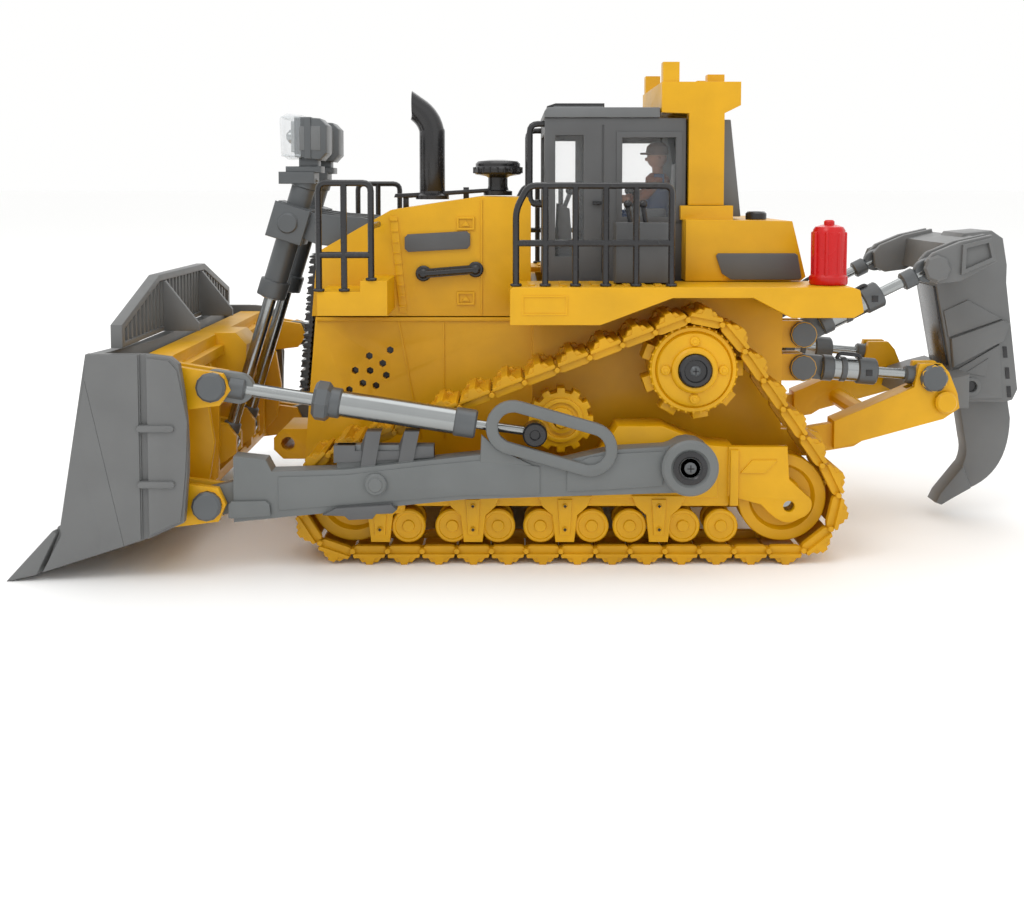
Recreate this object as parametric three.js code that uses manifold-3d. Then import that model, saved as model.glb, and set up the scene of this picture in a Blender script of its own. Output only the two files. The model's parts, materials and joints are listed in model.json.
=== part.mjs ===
// Toy crawler bulldozer with ripper.  Millimetres, +Z up, blade towards -X, ripper towards +X,
// the vehicle's left side towards -Y.  Origin on the ground under the middle of the vehicle.
import * as THREE from 'three';
import { mergeVertices } from 'three/addons/utils/BufferGeometryUtils.js';
import Module from 'manifold-3d';

const wasm = await Module();
wasm.setup();

// ---------------------------------------------------------------- driving sizes
const GAP = 0.3;                       // running gap between neighbouring pieces
const WALL = 2.4;                      // wall of the moulded shells

const BLADE_HALF = 88;                 // half width over the blade ends
const WING_START = 52;                 // the blade folds forward outside this half width
const WING_REACH = 8;                  // how far forward the blade ends stand
const BLADE_TOP = 83.1;

const TRACK_IN = 44;                   // inner and outer edge of a crawler belt
const TRACK_OUT = 70;
const TRACK_MID = (TRACK_IN + TRACK_OUT) / 2;
const BELT = { tip: 24, shoe: 21.6, pitchLine: 19.5, groove: 19.9, inner: 17.6, shoes: 37 };
const GROOVE_HALF = 4.5;               // half width of the tooth groove inside the belt
const FRONT_IDLER = [-76.8, BELT.tip];
const REAR_IDLER = [87.6, BELT.tip];
const SPROCKET = [52.7, 74.1];
const CARRIER = [2.6, 53.8];
const ROLLER_X = [-55.7, -39, -21.5, -5.4, 14.2, 28.7, 49, 63.5];
const BOGIE_X = [-31, 3.9, 39.6];
const ROLLER_Z = 13.7;
const ROLLER_R = 5.7;
const FRAME_OUT = 66;                  // outer and inner face of the roller frame
const FRAME_IN = 50;

const TUB_FRONT = 30;                  // half width of the chassis tub ahead of the cab
const TUB_HALF = 40;                   // and under the cab and rear deck
const TUB_TOP = 103.5;
const TUB_STEP = -8;                   // where the tub changes width
const DECK_TOP = 105.7;

const ARM_Y = 77;                      // middle plane of push arm and brace cylinder
const TRUNNION = [48.9, 40.6];
const LOWER_PIN = [-127.8, 26.6];
const UPPER_PIN = [-125.6, 70.4];
const BRACE_TAIL = [-7.8, 52.6];       // roller that rides in the slotted ring
const BRACE_R = 4.8;
const PIN_R = 2.4;
const EYE_R = 5.6;

const LIFT_Y = 17;                     // plane of the lift cylinders
const LIFT_EYE = [-136.6, 35.5];
const LIFT_PIVOT = [-107.7, 128.3];
const LIFT_BARREL = { below: 32.5, above: 19.3, radius: 4.9 };

const HOOD_HALF = 30;
const CAB = { front: -3, rear: 54, half: 32, floor: 103.8, top: 170.8 };

const RIPPER_Y = 33;                   // plane of ripper arms and cylinders
const CLEVIS = 2.2;                    // half gap of a ripper clevis
const CHEEK = 3;                       // thickness of a clevis cheek
const RIP_ARM_PIVOT = [104, 40];
const RIP_HEAD_PIVOT = [158.5, 56.5];
const RIP_UPPER = { base: [100.8, 84], end: [153.8, 110.5] };
const RIP_LOWER = { base: [100.8, 70.6], end: [153.5, 66.2] };

// ---------------------------------------------------------------- materials
const paint = (color, roughness, metalness = 0) => new THREE.MeshStandardMaterial({
  color, roughness, metalness, flatShading: true });
const yellow = paint(0xe0a422, 0.45);
const beltYellow = paint(0xa8791f, 0.6);
const bladeGrey = paint(0x80807e, 0.5);
const armGrey = paint(0x7e8281, 0.5);
const chrome = paint(0xb4b8b6, 0.2, 0.9);
const darkGrey = paint(0x4a4a4a, 0.55);
const black = paint(0x26262a, 0.4);
const roofGrey = paint(0x707271, 0.55);
const red = paint(0xd93033, 0.35);
const denim = paint(0x334b67, 0.8);
const boardGreen = paint(0x2f6b3c, 0.6);
const glass = new THREE.MeshStandardMaterial({
  color: 0xdfe6e6, roughness: 0.08, transparent: true, opacity: 0.35 });

// ---------------------------------------------------------------- solids
function solid(geometry) {
  const bare = new THREE.BufferGeometry();
  bare.setAttribute('position', geometry.getAttribute('position').clone());
  if (geometry.getIndex()) bare.setIndex(geometry.getIndex().clone());
  const merged = mergeVertices(bare, 1e-4);
  const points = merged.getAttribute('position').array;
  const corners = merged.getIndex().array;
  const triangles = [];
  let volume = 0;
  const at = (i) => new THREE.Vector3(points[3 * i], points[3 * i + 1], points[3 * i + 2]);
  for (let i = 0; i < corners.length; i += 3) {
    const [a, b, c] = [corners[i], corners[i + 1], corners[i + 2]];
    if (a === b || b === c || c === a) continue;
    triangles.push(a, b, c);
    volume += at(a).dot(at(b).cross(at(c)));
  }
  if (volume < 0) triangles.reverse();
  return new wasm.Manifold(new wasm.Mesh({
    numProp: 3, vertProperties: new Float32Array(points), triVerts: new Uint32Array(triangles) }));
}

const join = (...pieces) => wasm.Manifold.union(pieces.flat(Infinity));
const cut = (base, ...tools) => base.subtract(join(tools));
const flat = ([x, z]) => new THREE.Vector2(x, z);

// Outline in the side view (x, z), standing between two y planes.
function plate(outline, yFrom, yTo, holes = []) {
  const shape = new THREE.Shape(outline.map(flat));
  shape.holes = holes.map((hole) => new THREE.Path(hole.map(flat)));
  const geometry = new THREE.ExtrudeGeometry(shape, { depth: yTo - yFrom, bevelEnabled: false });
  geometry.rotateX(Math.PI / 2);
  geometry.translate(0, yTo, 0);
  return solid(geometry);
}

// Outline in the front view (y, z), standing between two x planes.
function crossPlate(outline, xFrom, xTo) {
  const geometry = new THREE.ExtrudeGeometry(new THREE.Shape(outline.map(flat)), {
    depth: xTo - xFrom, bevelEnabled: false });
  geometry.applyMatrix4(new THREE.Matrix4().makeBasis(
    new THREE.Vector3(0, 1, 0), new THREE.Vector3(0, 0, 1), new THREE.Vector3(1, 0, 0)));
  geometry.translate(xFrom, 0, 0);
  return solid(geometry);
}

function box(xFrom, xTo, yFrom, yTo, zFrom, zTo) {
  const geometry = new THREE.BoxGeometry(xTo - xFrom, yTo - yFrom, zTo - zFrom);
  geometry.translate((xFrom + xTo) / 2, (yFrom + yTo) / 2, (zFrom + zTo) / 2);
  return solid(geometry);
}

function pin([x, z], radius, yFrom, yTo, sides = 8) {
  const geometry = new THREE.CylinderGeometry(radius, radius, yTo - yFrom, sides);
  geometry.translate(x, (yFrom + yTo) / 2, z);
  return solid(geometry);
}

const hexPin = (place, yFrom, yTo) => pin(place, EYE_R, yFrom, yTo, 6);

function rod(from, to, radius, sides = 8, endRadius = radius) {
  const start = new THREE.Vector3(...from);
  const end = new THREE.Vector3(...to);
  const along = end.clone().sub(start);
  const geometry = new THREE.CylinderGeometry(endRadius, radius, along.length(), sides);
  geometry.applyQuaternion(new THREE.Quaternion().setFromUnitVectors(
    new THREE.Vector3(0, 1, 0), along.clone().normalize()));
  geometry.translate(...start.add(end).multiplyScalar(0.5));
  return solid(geometry);
}

function ball([x, y, z], radius, sides = 8) {
  const geometry = new THREE.SphereGeometry(radius, sides, Math.round(sides * 0.7));
  geometry.translate(x, y, z);
  return solid(geometry);
}

// Profile of [radius, height] pairs turned about the Y axis (wheels) or the Z axis (upright pieces).
function turned(profile, sides) {
  return new THREE.LatheGeometry(profile.map(flat), sides);
}

function wheel(profile, [x, z], sides = 16) {
  const geometry = turned(profile, sides);
  geometry.translate(x, 0, z);
  return solid(geometry);
}

function upright(profile, x, y, sides = 12) {
  const geometry = turned(profile, sides);
  geometry.rotateX(Math.PI / 2);
  geometry.translate(x, y, 0);
  return solid(geometry);
}

const circle = ([x, z], radius, count = 20) => Array.from({ length: count }, (_, i) => {
  const turn = (2 * Math.PI * i) / count;
  return [x + radius * Math.cos(turn), z + radius * Math.sin(turn)];
});

// Straight bar with round ends around two points of the side view.
function capsule([ax, az], [bx, bz], radius, count = 4) {
  const heading = Math.atan2(bz - az, bx - ax);
  const points = [];
  for (const [x, z, start] of [[bx, bz, heading - Math.PI / 2], [ax, az, heading + Math.PI / 2]]) {
    for (let i = 0; i <= count; i += 1) {
      const turn = start + (Math.PI * i) / count;
      points.push([x + radius * Math.cos(turn), z + radius * Math.sin(turn)]);
    }
  }
  return points;
}

// Quadratic curve between two points of the side view.
const curve = (from, control, to, count = 5) => new THREE.QuadraticBezierCurve(
  flat(from), flat(control), flat(to)).getPoints(count).map((p) => [p.x, p.y]);

const mirrored = (piece) => piece.mirror([0, 1, 0]);
const both = (piece) => [piece, mirrored(piece)];
const towards = ([ax, az], [bx, bz]) => {
  const length = Math.hypot(bx - ax, bz - az);
  return [(bx - ax) / length, (bz - az) / length];
};
const step = ([x, z], [dx, dz], distance) => [x + dx * distance, z + dz * distance];
const lift3 = ([x, z], y) => [x, y, z];

// ---------------------------------------------------------------- crawler belt and wheels
// A point of the belt: distance along the pitch line, measured round both idlers and the sprocket.
function beltRuns() {
  const centres = [FRONT_IDLER, REAR_IDLER, SPROCKET];
  return centres.map((from, i) => {
    const to = centres[(i + 1) % 3];
    const [dx, dz] = towards(from, to);
    return { from, to, dx, dz, length: Math.hypot(to[0] - from[0], to[1] - from[1]) };
  });
}

function beltAt(distance, radius) {
  const runs = beltRuns();
  const arcs = runs.map((run, i) => {
    const next = runs[(i + 1) % 3];
    return Math.acos(run.dx * next.dx + run.dz * next.dz);
  });
  const total = beltLength();
  let left = ((distance % total) + total) % total;
  for (let i = 0; i < 3; i += 1) {
    const run = runs[i];
    const out = Math.atan2(-run.dx, run.dz);
    if (left <= run.length) {
      const [x, z] = step(run.from, [run.dx, run.dz], left);
      return [x + radius * Math.cos(out), z + radius * Math.sin(out)];
    }
    left -= run.length;
    const arcLength = arcs[i] * BELT.pitchLine;
    if (left <= arcLength) {
      const turn = out + left / BELT.pitchLine;
      return [run.to[0] + radius * Math.cos(turn), run.to[1] + radius * Math.sin(turn)];
    }
    left -= arcLength;
  }
  return beltAt(0, radius);
}

function beltLength() {
  return beltRuns().reduce((sum, run) => sum + run.length, 2 * Math.PI * BELT.pitchLine);
}

// Smooth loop at one distance from the wheel centres, with points only where the belt bends.
function beltOutline(radius) {
  const points = [];
  let distance = 0;
  const runs = beltRuns();
  runs.forEach((run, i) => {
    const next = runs[(i + 1) % 3];
    const bend = Math.acos(run.dx * next.dx + run.dz * next.dz) * BELT.pitchLine;
    const parts = Math.round(bend / 6);
    distance += run.length;
    for (let part = 0; part <= parts; part += 1) {
      points.push(beltAt(distance + (bend * part) / parts - 1e-6, radius));
    }
    distance += bend;
  });
  return points;
}

function track() {
  const pitch = beltLength() / BELT.shoes;
  const bar = [[-0.17, BELT.shoe], [-0.11, BELT.tip], [0.11, BELT.tip], [0.17, BELT.shoe]];
  const outline = [];
  for (let shoe = 0; shoe < BELT.shoes; shoe += 1) {
    for (const [share, radius] of bar) outline.push(beltAt((shoe + 0.5 + share) * pitch, radius));
  }
  const band = plate(outline, -TRACK_OUT, -TRACK_IN, [beltOutline(BELT.inner)]);
  return cut(band, plate(beltOutline(BELT.groove), -TRACK_MID - GROOVE_HALF, -TRACK_MID + GROOVE_HALF));
}

function gear([x, z], rootRadius, tipRadius, teeth, yFrom, yTo) {
  const outline = [];
  for (let tooth = 0; tooth < teeth; tooth += 1) {
    for (const [share, radius] of [[-0.3, rootRadius], [-0.2, tipRadius], [0.2, tipRadius], [0.3, rootRadius]]) {
      const turn = (2 * Math.PI * (tooth + share)) / teeth;
      outline.push([x + radius * Math.cos(turn), z + radius * Math.sin(turn)]);
    }
  }
  return plate(outline, yFrom, yTo);
}

function sprocket() {
  const drum = wheel([[0, -65], [16.2, -65], [16.2, -49], [0, -49]], SPROCKET);
  const hub = wheel([[0, -71.5], [5.9, -71.5], [5.9, -70], [10.4, -70], [13, -64], [0, -64]], SPROCKET, 16);
  const teeth = gear(SPROCKET, 15.8, 19.3, 9, -TRACK_MID - 4, -TRACK_MID + 4);
  return cut(join(drum, hub, teeth), pin(SPROCKET, 4 + 2 * GAP, -68, -40));
}

function idler(centre) {
  return wheel([[3.2 + GAP, -62], [8, -62], [9, -60], [14, -60], [14.6, -62], [17, -62], [17, -52],
    [3.2 + GAP, -52], [3.2 + GAP, -62]], centre);
}

function carrier() {
  return cut(gear(CARRIER, 10.6, 12.6, 12, -61.5, -52.5), pin(CARRIER, 2.5 + GAP, -70, -40));
}

function rollerFrame() {
  const beam = plate([[-58.5, 18.7], [68, 18.7], [68, 44.9], [59, 45.3], [40, 52.9], [21.8, 52.9],
    [16, 40.5], [-50, 37], [-58.5, 32]], -FRAME_OUT, -FRAME_IN);
  const pocket = plate([[-55, 22], [65, 22], [65, 41], [18, 37.5], [-49, 34]], -FRAME_OUT + 3, -FRAME_IN + 1);
  const rearFork = plate([[66, 25.6], [78.7, 22.2], [91.3, 15.6], [98.3, 21.4], [97.7, 24.4], [89.4, 32],
    [88.6, 44.6], [66, 44.6]], -FRAME_OUT, -FRAME_OUT + 3);
  const frontFork = plate([[-57, 32], [-74, 31], [-84, 24], [-77, 17], [-57, 18.7]], -FRAME_OUT, -FRAME_OUT + 3);
  const axles = [FRONT_IDLER, REAR_IDLER].map((centre) => pin(centre, 3, -FRAME_OUT, -FRAME_IN + 2));
  const innerForks = [frontFork, rearFork].map((fork) => fork.translate([0, FRAME_OUT - FRAME_IN - 1, 0]));
  const rollers = ROLLER_X.map((x) => pin([x, ROLLER_Z], ROLLER_R, -64, -52, 10));
  const brackets = BOGIE_X.map((x) => plate([[x - 7.5, 25], [x - 4.4, 9.4], [x + 4.4, 9.4], [x + 7.5, 25]],
    -FRAME_OUT - 0.8, -54));
  const mounts = [[-30, TUB_FRONT], [35, TUB_HALF]].map(([x, half]) => box(
    x - 8, x + 8, -FRAME_IN - 14, -half - GAP, 24, 34));
  const trunnion = pin(TRUNNION, 4, -ARM_Y - 6.6, -FRAME_OUT + 2);
  const carrierSlot = pin(CARRIER, 14.4, -63, -51.5, 14);
  return join(cut(beam, pocket, carrierSlot), rearFork, frontFork, innerForks, axles, rollers, brackets, mounts,
    trunnion);
}

// ---------------------------------------------------------------- chassis and what it holds
function clevisCheeks(outline, y) {
  return [plate(outline, y - CLEVIS - CHEEK, y - CLEVIS), plate(outline, y + CLEVIS, y + CLEVIS + CHEEK)];
}

function chassis() {
  const frontTub = plate([[-84, 14], [TUB_STEP + 1, 14], [TUB_STEP + 1, 90], [-96.5, 90], [-101.5, 32], [-96, 22]],
    -TUB_FRONT, TUB_FRONT);
  const frontInside = plate([[-82.6, 16.4], [TUB_STEP + 3, 16.4], [TUB_STEP + 3, 91], [-93.9, 91], [-99, 32.6],
    [-94.2, 23.6]], -TUB_FRONT + WALL, TUB_FRONT - WALL);
  const rearTub = plate([[TUB_STEP, 14], [86, 14], [92, 30], [92, TUB_TOP], [TUB_STEP, TUB_TOP]], -TUB_HALF, TUB_HALF);
  const rearInside = plate([[TUB_STEP + WALL, 16.4], [84.6, 16.4], [89.6, 30.6], [89.6, TUB_TOP + 1],
    [TUB_STEP + WALL, TUB_TOP + 1]], -TUB_HALF + WALL, TUB_HALF - WALL);
  const hatch = box(-32, 32, -24, 24, 13, 17);
  const vents = [[-66.1, 76.4], [-74.7, 74], [-69.2, 70.9], [-80.5, 68], [-74.4, 67.9], [-67.8, 66], [-77.4, 62.7],
    [-72, 61.7], [-83, 60]].map((place) => pin(place, 1.6, -TUB_FRONT - 1, -TUB_FRONT + WALL + 1, 6));
  const towHook = plate([[-100, 27], [-114, 27], [-118, 31], [-118, 36], [-114, 40], [-100, 40]], -12, 12,
    [circle([-112, 33.5], 3, 10)]);
  const lugs = [RIP_UPPER.base, RIP_LOWER.base, RIP_ARM_PIVOT].map((place) => clevisCheeks(
    capsule([90, place[1]], place, 5.4), -RIPPER_Y));
  const outerFace = -RIPPER_Y - CLEVIS - CHEEK;
  const pins = [RIP_UPPER.base, RIP_LOWER.base, RIP_ARM_PIVOT].map((place) => [
    pin(place, PIN_R, outerFace, -RIPPER_Y + CLEVIS + CHEEK), pin(place, EYE_R - 0.4, outerFace - 2, outerFace + 0.5, 12)]);
  const axles = [pin(SPROCKET, 4, -66, -TUB_HALF + 1), pin(SPROCKET, 15, -43, -TUB_HALF + 1, 14),
    pin(CARRIER, 2.5, -64.5, -TUB_HALF + 1)];
  const tub = cut(join(frontTub, rearTub), frontInside, rearInside, hatch, both(join(vents)));
  return join(tub, towHook, both(join(lugs, pins, axles)));
}

function batteryCover() {
  const lid = box(-32 + GAP, 32 - GAP, -24 + GAP, 24 - GAP, 14, 16.2);
  const ribs = [-20, -10, 0, 10, 20].map((x) => box(x - 1.2, x + 1.2, -18, 18, 13.2, 14.5));
  return join(lid, ribs);
}

function batteryPack() {
  const cells = [-15, -5, 5, 15].map((y) => rod([-26, y, 22.6], [26, y, 22.6], 5.3));
  return join(cells, box(-24, 24, -17, 17, 21, 24));
}

function driveGearbox() {
  const housing = plate([[34, 20], [78, 20], [78, 60], [68, 88], [40, 88], [34, 70]], -16, 16);
  const motors = [-1, 1].map((side) => rod([46, side * 26, 52], [46, side * 14, 52], 9, 14));
  return join(housing, motors);
}

function circuitBoard() {
  const board = box(-62, -4, -26, 26, 60, 61.6);
  const chips = [[-50, -14], [-30, 4], [-14, -12]].map(([x, y]) => box(x - 5, x + 5, y - 4, y + 4, 61, 64));
  return join(board, chips, box(-60, -52, 10, 22, 61, 70));
}

// ---------------------------------------------------------------- hood, deck and rear body
function frontStep() {
  return plate([[-91.1, 93.6], [-64.1, 93.6], [-64.1, 107.1], [-74.5, 107.1], [-74.5, 102.9], [-91.1, 102.9]],
    -58, -HOOD_HALF + 1);
}

function liftYoke() {
  const arm = [[-77, 124], [-70, 129], [-78, 130.6], [-90, 131.4], [-104, 133.4], [-111, 133], [-112.2, 126], [-104, 122.6],
    [-96, 119.4], [-88, 118.5]];
  const arms = [[-26, -23.6], [-10.4, -8]].map(([from, to]) => plate(arm, from, to));
  return cut(join(arms), pin(LIFT_PIVOT, 2 + GAP, -30, -4));
}

function hood() {
  const outline = [[-98, 90.4], [-95.7, 116.6], [-65.4, 133.8], [-29.3, 139.2], [-8.5, 138.8], [-8.5, 90.4]];
  const inside = [[-95.6, 89], [-93.3, 115.1], [-64.8, 131.3], [-29.3, 136.7], [-11, 136.4], [-11, 89]];
  const shell = cut(plate(outline, -HOOD_HALF, HOOD_HALF), plate(inside, -HOOD_HALF + WALL, HOOD_HALF - WALL));
  const ladderStrip = plate([[-62, 92], [-59, 92], [-62.8, 131], [-65.9, 131]], -HOOD_HALF - 0.8, -HOOD_HALF + 1);
  const handle = plate([[-53.9, 106], [-29.3, 108], [-29.3, 111.7], [-53.9, 109.7]], -HOOD_HALF - 2.8, -HOOD_HALF + 1);
  const blankPlate = plate([[-59.6, 117], [-33.4, 118.4], [-33.4, 125], [-59.6, 123.6]], -HOOD_HALF - 0.8, -HOOD_HALF + 1);
  const side = join(ladderStrip, handle, blankPlate, frontStep(), liftYoke());
  return join(shell, both(side));
}

function radiatorGrille() {
  const [bottom, top] = [[-101.6, 56.9], [-96.3, 115.4]];
  const slats = 15;
  const at = (share, out) => [bottom[0] + (top[0] - bottom[0]) * share - out, bottom[1] + (top[1] - bottom[1]) * share];
  const outline = [at(0, 0)];
  for (let i = 0; i < slats; i += 1) {
    for (const [share, out] of [[0, 3], [0.5, 3], [0.55, 1.4], [0.95, 1.4]]) outline.push(at((i + share) / slats, out));
  }
  outline.push(at(1, 3), at(1, 0));
  return plate(outline, -24, 24);
}

function exhaustStack() {
  const [x, radius, bendAt] = [-50.6, 5.3, 166];
  const stack = upright([[0, 137.8], [7, 137.8], [7, 139.8], [5.6, 140.8], [radius, bendAt], [0, bendAt]], x, 0);
  const bend = rod([x, 0, bendAt - 2], [x - 12, 0, bendAt + 12], radius, 12);
  const mouthCut = box(x - 30, -59.1, -9, 9, 150, 190);
  return cut(join(stack, bend, ball([x, 0, bendAt], radius, 12)), mouthCut, rod([x - 3, 0, 168], [x - 14, 0, 181], 4));
}

function airPrecleaner() {
  return upright([[0, 139.5], [6.2, 139.5], [6.2, 141.4], [4.4, 142.2], [4.4, 147.6], [9.8, 148.4], [10.4, 150.4],
    [9, 153.6], [0, 154.8]], -22.3, 0, 16);
}

function fender() {
  const outline = [[-17, 91.4], [16.9, 91.4], [44, 101.6], [74.1, 101.6], [88.4, 94.1], [111.7, 94.1],
    [115.5, 96.3], [114, 104.6], [111, DECK_TOP], [-15.9, DECK_TOP], [-17, 104.6]];
  const tray = [[-14.6, 90], [15.8, 90], [43, 100.4], [43, 103.2], [-14.6, 103.2]];
  return cut(plate(outline, -TRACK_OUT, -TUB_HALF - GAP), plate(tray, -TRACK_OUT + WALL, -TUB_HALF - GAP - WALL));
}

function rearBody() {
  const outline = [[55, DECK_TOP + GAP], [98, DECK_TOP + GAP], [100, 107.6], [94.4, 129.6], [55, 130.2]];
  const inside = [[57.4, DECK_TOP - 1], [97, DECK_TOP - 1], [97, 108], [92.4, 127.2], [57.4, 127.8]];
  const shell = cut(plate(outline, -44, 44), plate(inside, -44 + WALL, 44 - WALL));
  const cheek = box(52.5, 56, -44, -CAB.half - GAP, DECK_TOP + GAP, 130.2);
  const pad = [box(CAB.rear + 0.6, 72.5, -36, -27.2, 129.5, 135.6), box(51.5, CAB.rear + 1, -36, -CAB.half - GAP, 130, 135.6)];
  const cap = upright([[0, 129], [4, 129], [4, 131.4], [3.2, 132.4], [0, 132.6]], 83, -30, 14);
  const blankPlate = plate([[67.7, 107], [97.6, 107], [96, 116.7], [64.6, 116.7]], -44.9, -43.5);
  return join(shell, cap, both(join(cheek, pad, blankPlate)));
}

function extinguisher() {
  return upright([[0, DECK_TOP + 0.2], [6.9, DECK_TOP + 0.2], [7.3, 107.4], [7.3, 122.4], [5.6, 125.6], [3, 127.2],
    [3, 128.2], [3.8, 128.8], [3.4, 130.4], [0, 130.6]], 105.1, -58);
}

function railing(y, tubeRadius, posts, bars) {
  const uprights = posts.map(([x, foot, top]) => rod([x, y, foot], [x, y, top], tubeRadius, 6));
  const rails = bars.map(([from, to]) => rod(lift3(from, y), lift3(to, y), tubeRadius, 6));
  return join(uprights, rails);
}

function deckRail() {
  const foot = DECK_TOP + 0.2;
  const top = 143.6;
  const posts = [-3.7, 7.7, 19.1, 30.5, 43.8].map((x) => [x, foot, top]);
  posts.push([-14.7, foot, 134.5]);
  return railing(-66, 1.2, posts, [[[-14.7, 134.5], [-10.1, top]], [[-10.1, top], [43.8, top]], [[-14.7, 122], [43.8, 122]]]);
}

function frontRail() {
  const top = 144.6;
  const posts = [[-90.4, 103.1, top], [-80.7, 103.1, top], [-70.3, 107.3, top]];
  const side = railing(-57, 1.2, posts, [[[-90.4, top], [-70.3, top]], [[-90.4, 117], [-70.3, 117]]]);
  const inboard = rod([-70.3, -57, 128], [-70.3, -34, 128], 1.2, 6);
  return join(side, inboard);
}

// ---------------------------------------------------------------- cab
function cabShell() {
  const { front, rear, half, floor, top } = CAB;
  const passage = [[rear - 1, 131], [77.5, 131], [73, 170.5], [rear - 1, 170.5]];
  const passageInside = [[rear - WALL - 1, 133.4], [74.8, 133.4], [70.9, 168], [rear - WALL - 1, 168]];
  const room = box(front + WALL, rear - WALL, -half + WALL, half - WALL, floor + WALL, top + 1);
  const seatOpening = box(rear - WALL - 1, rear + 4.4, -12, 12, floor + WALL + 1, 160);
  const frontWindow = plate([[1.3, 164], [12.8, 164], [12.8, 121], [8, 115], [1.3, 115]], -half - 1, half + 1);
  const rearWindow = plate([[28.3, 163], [50, 163], [50, 131], [28.3, 131]], -half - 1, half + 1);
  const windscreen = box(front - 1, front + WALL + 1, -26, 26, 144, 165);
  const backLight = box(68, 80, -20, 20, 138, 163);
  const seam = box(20.1, 20.9, -half - 1, -half + 0.6, 108, 168);
  const walls = join(box(front, rear, -half, half, floor, top), plate(passage, -26.5, 26.5));
  return cut(walls, room, plate(passageInside, -24.1, 24.1), seatOpening, frontWindow, rearWindow, windscreen, backLight,
    both(seam));
}

function cabGlazing() {
  const { front, rear, half } = CAB;
  const edge = WALL + GAP;
  const outer = box(front + edge, rear - edge, -half + edge, half - edge, 112, 168);
  return cut(outer, box(front + edge + 1, rear, -half + edge + 1, half - edge - 1, 111, 169));
}

function cabRoof() {
  const slab = plate([[-3.2, 171], [43.4, 171], [43.4, 175.1], [-1.8, 175.1], [-3.2, 173.6]], -33, 33);
  return join(slab, box(1, 22, -16, 16, 174.6, 176.8));
}

function ropsFrame() {
  const outline = [[54.9, 135.8], [69.1, 135.8], [69.1, 172.6], [75.6, 175.8], [75.6, 185.2], [43.9, 185.2],
    [43.9, 173], [54.9, 172.6]];
  const sides = plate(outline, -34, -27.5);
  const beam = plate([[43.9, 173.6], [54.9, 173.6], [72, 175], [75.6, 176.6], [75.6, 185.2], [43.9, 185.2]], -34, 34);
  const recess = box(48, 71.6, -22, 22, 181, 186);
  const frontLug = box(44.4, 51, -33, -27, 184, 193.2);
  const rearLug = box(65, 72, -17, -11, 180, 189.7);
  return join(cut(beam, recess), both(join(sides, frontLug, rearLug)));
}

function seatConsole() {
  const base = box(1.2, 49, -24, 24, 106.4, 109);
  const seat = plate([[34, 108], [CAB.rear + 0.2, 108], [CAB.rear + 0.2, 131], [57, 136], [57.5, 151], [54, 153], [53, 134],
    [50.4, 127], [34, 127]], -10, 10);
  const arms = box(34, 48, -17, -9, 108, 134);
  const console = plate([[2.4, 108], [10, 108], [8, 134], [3.5, 136]], -14, 14);
  const lever = rod([38, -13, 133], [35.5, -13, 141], 0.9, 6);
  return join(base, seat, both(join(arms, lever)), console, rod([6, 0, 133], [9, 0, 141], 1, 6));
}

function driver() {
  const hips = box(38, 49.6, -6.5, 6.5, 127.3, 134);
  const torso = rod([46, 0, 132], [46.8, 0, 148], 5.6, 8, 5);
  const head = join(ball([46.5, 0, 155.5], 5, 10), rod([46.8, 0, 147], [46.6, 0, 152], 2.6, 8));
  const hat = join(rod([46.5, 0, 157], [46.5, 0, 162], 5.4, 10, 4.6), box(39.8, 46.5, -4.4, 4.4, 157, 158.2));
  const limb = join(rod([46, -5, 146], [39, -8, 138.4], 2.2, 6), rod([39.6, -8, 138.4], [32, -7.6, 137.5], 1.9, 6),
    rod([41, -3.6, 130.4], [26, -4, 130.4], 3, 6), rod([27, -4, 131], [25, -4, 113], 2.6, 6),
    box(20.4, 27, -6.6, -1.6, 110, 114.5));
  return join(hips, torso, head, hat, both(limb));
}

// ---------------------------------------------------------------- blade
const wingShift = (y) => -WING_REACH * Math.max(0, (Math.abs(y) - WING_START) / (BLADE_HALF - WING_START));

// A profile carried across the blade; profiles are given where they stand at the blade ends.
function acrossBlade(outline, half) {
  const profile = THREE.ShapeUtils.isClockWise(outline.map(flat)) ? outline.toReversed() : outline;
  const stations = [-half, -WING_START, WING_START, half];
  const points = stations.flatMap((y) => profile.flatMap(([x, z]) => [x + WING_REACH + wingShift(y), y, z]));
  const count = profile.length;
  const triangles = [];
  for (let s = 0; s < stations.length - 1; s += 1) {
    for (let i = 0; i < count; i += 1) {
      const [a, b] = [s * count + i, s * count + ((i + 1) % count)];
      triangles.push(a, b, a + count, b, b + count, a + count);
    }
  }
  const last = (stations.length - 1) * count;
  for (const [a, b, c] of THREE.ShapeUtils.triangulateShape(profile.map(flat), [])) {
    triangles.push(a, c, b, last + a, last + b, last + c);
  }
  const geometry = new THREE.BufferGeometry();
  geometry.setAttribute('position', new THREE.Float32BufferAttribute(points, 3));
  geometry.setIndex(triangles);
  return solid(geometry);
}

function bladeShell() {
  const front = curve([-181.2, 19.4], [-160, 42], [-169.4, BLADE_TOP], 9);
  const back = curve([-164.6, BLADE_TOP], [-155, 42], [-176.4, 16.8], 9);
  const board = acrossBlade([...front, ...back], BLADE_HALF - 1);
  const endPlate = plate([[-180, 19.2], [-179.3, 17.4], [-186.6, 3.4], [-156, 13.4], [-147.7, 15.9], [-135, 21.7],
    ...curve([-133.4, 40], [-132.4, 59], [-136, 79.5], 4), [-139, 82], [-147.7, BLADE_TOP], [-169.4, BLADE_TOP]],
  -BLADE_HALF, -BLADE_HALF + 3.4);
  const groove = box(-150, -147.6, -BLADE_HALF - 1, -BLADE_HALF + 0.8, 10, 84);
  const ribs = [36, 56].map((z) => rod([-146, -87.2, z], [-136, -87.2, z], 0.8, 4));
  return join(board, both(join(cut(endPlate, groove), ribs)));
}

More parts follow.
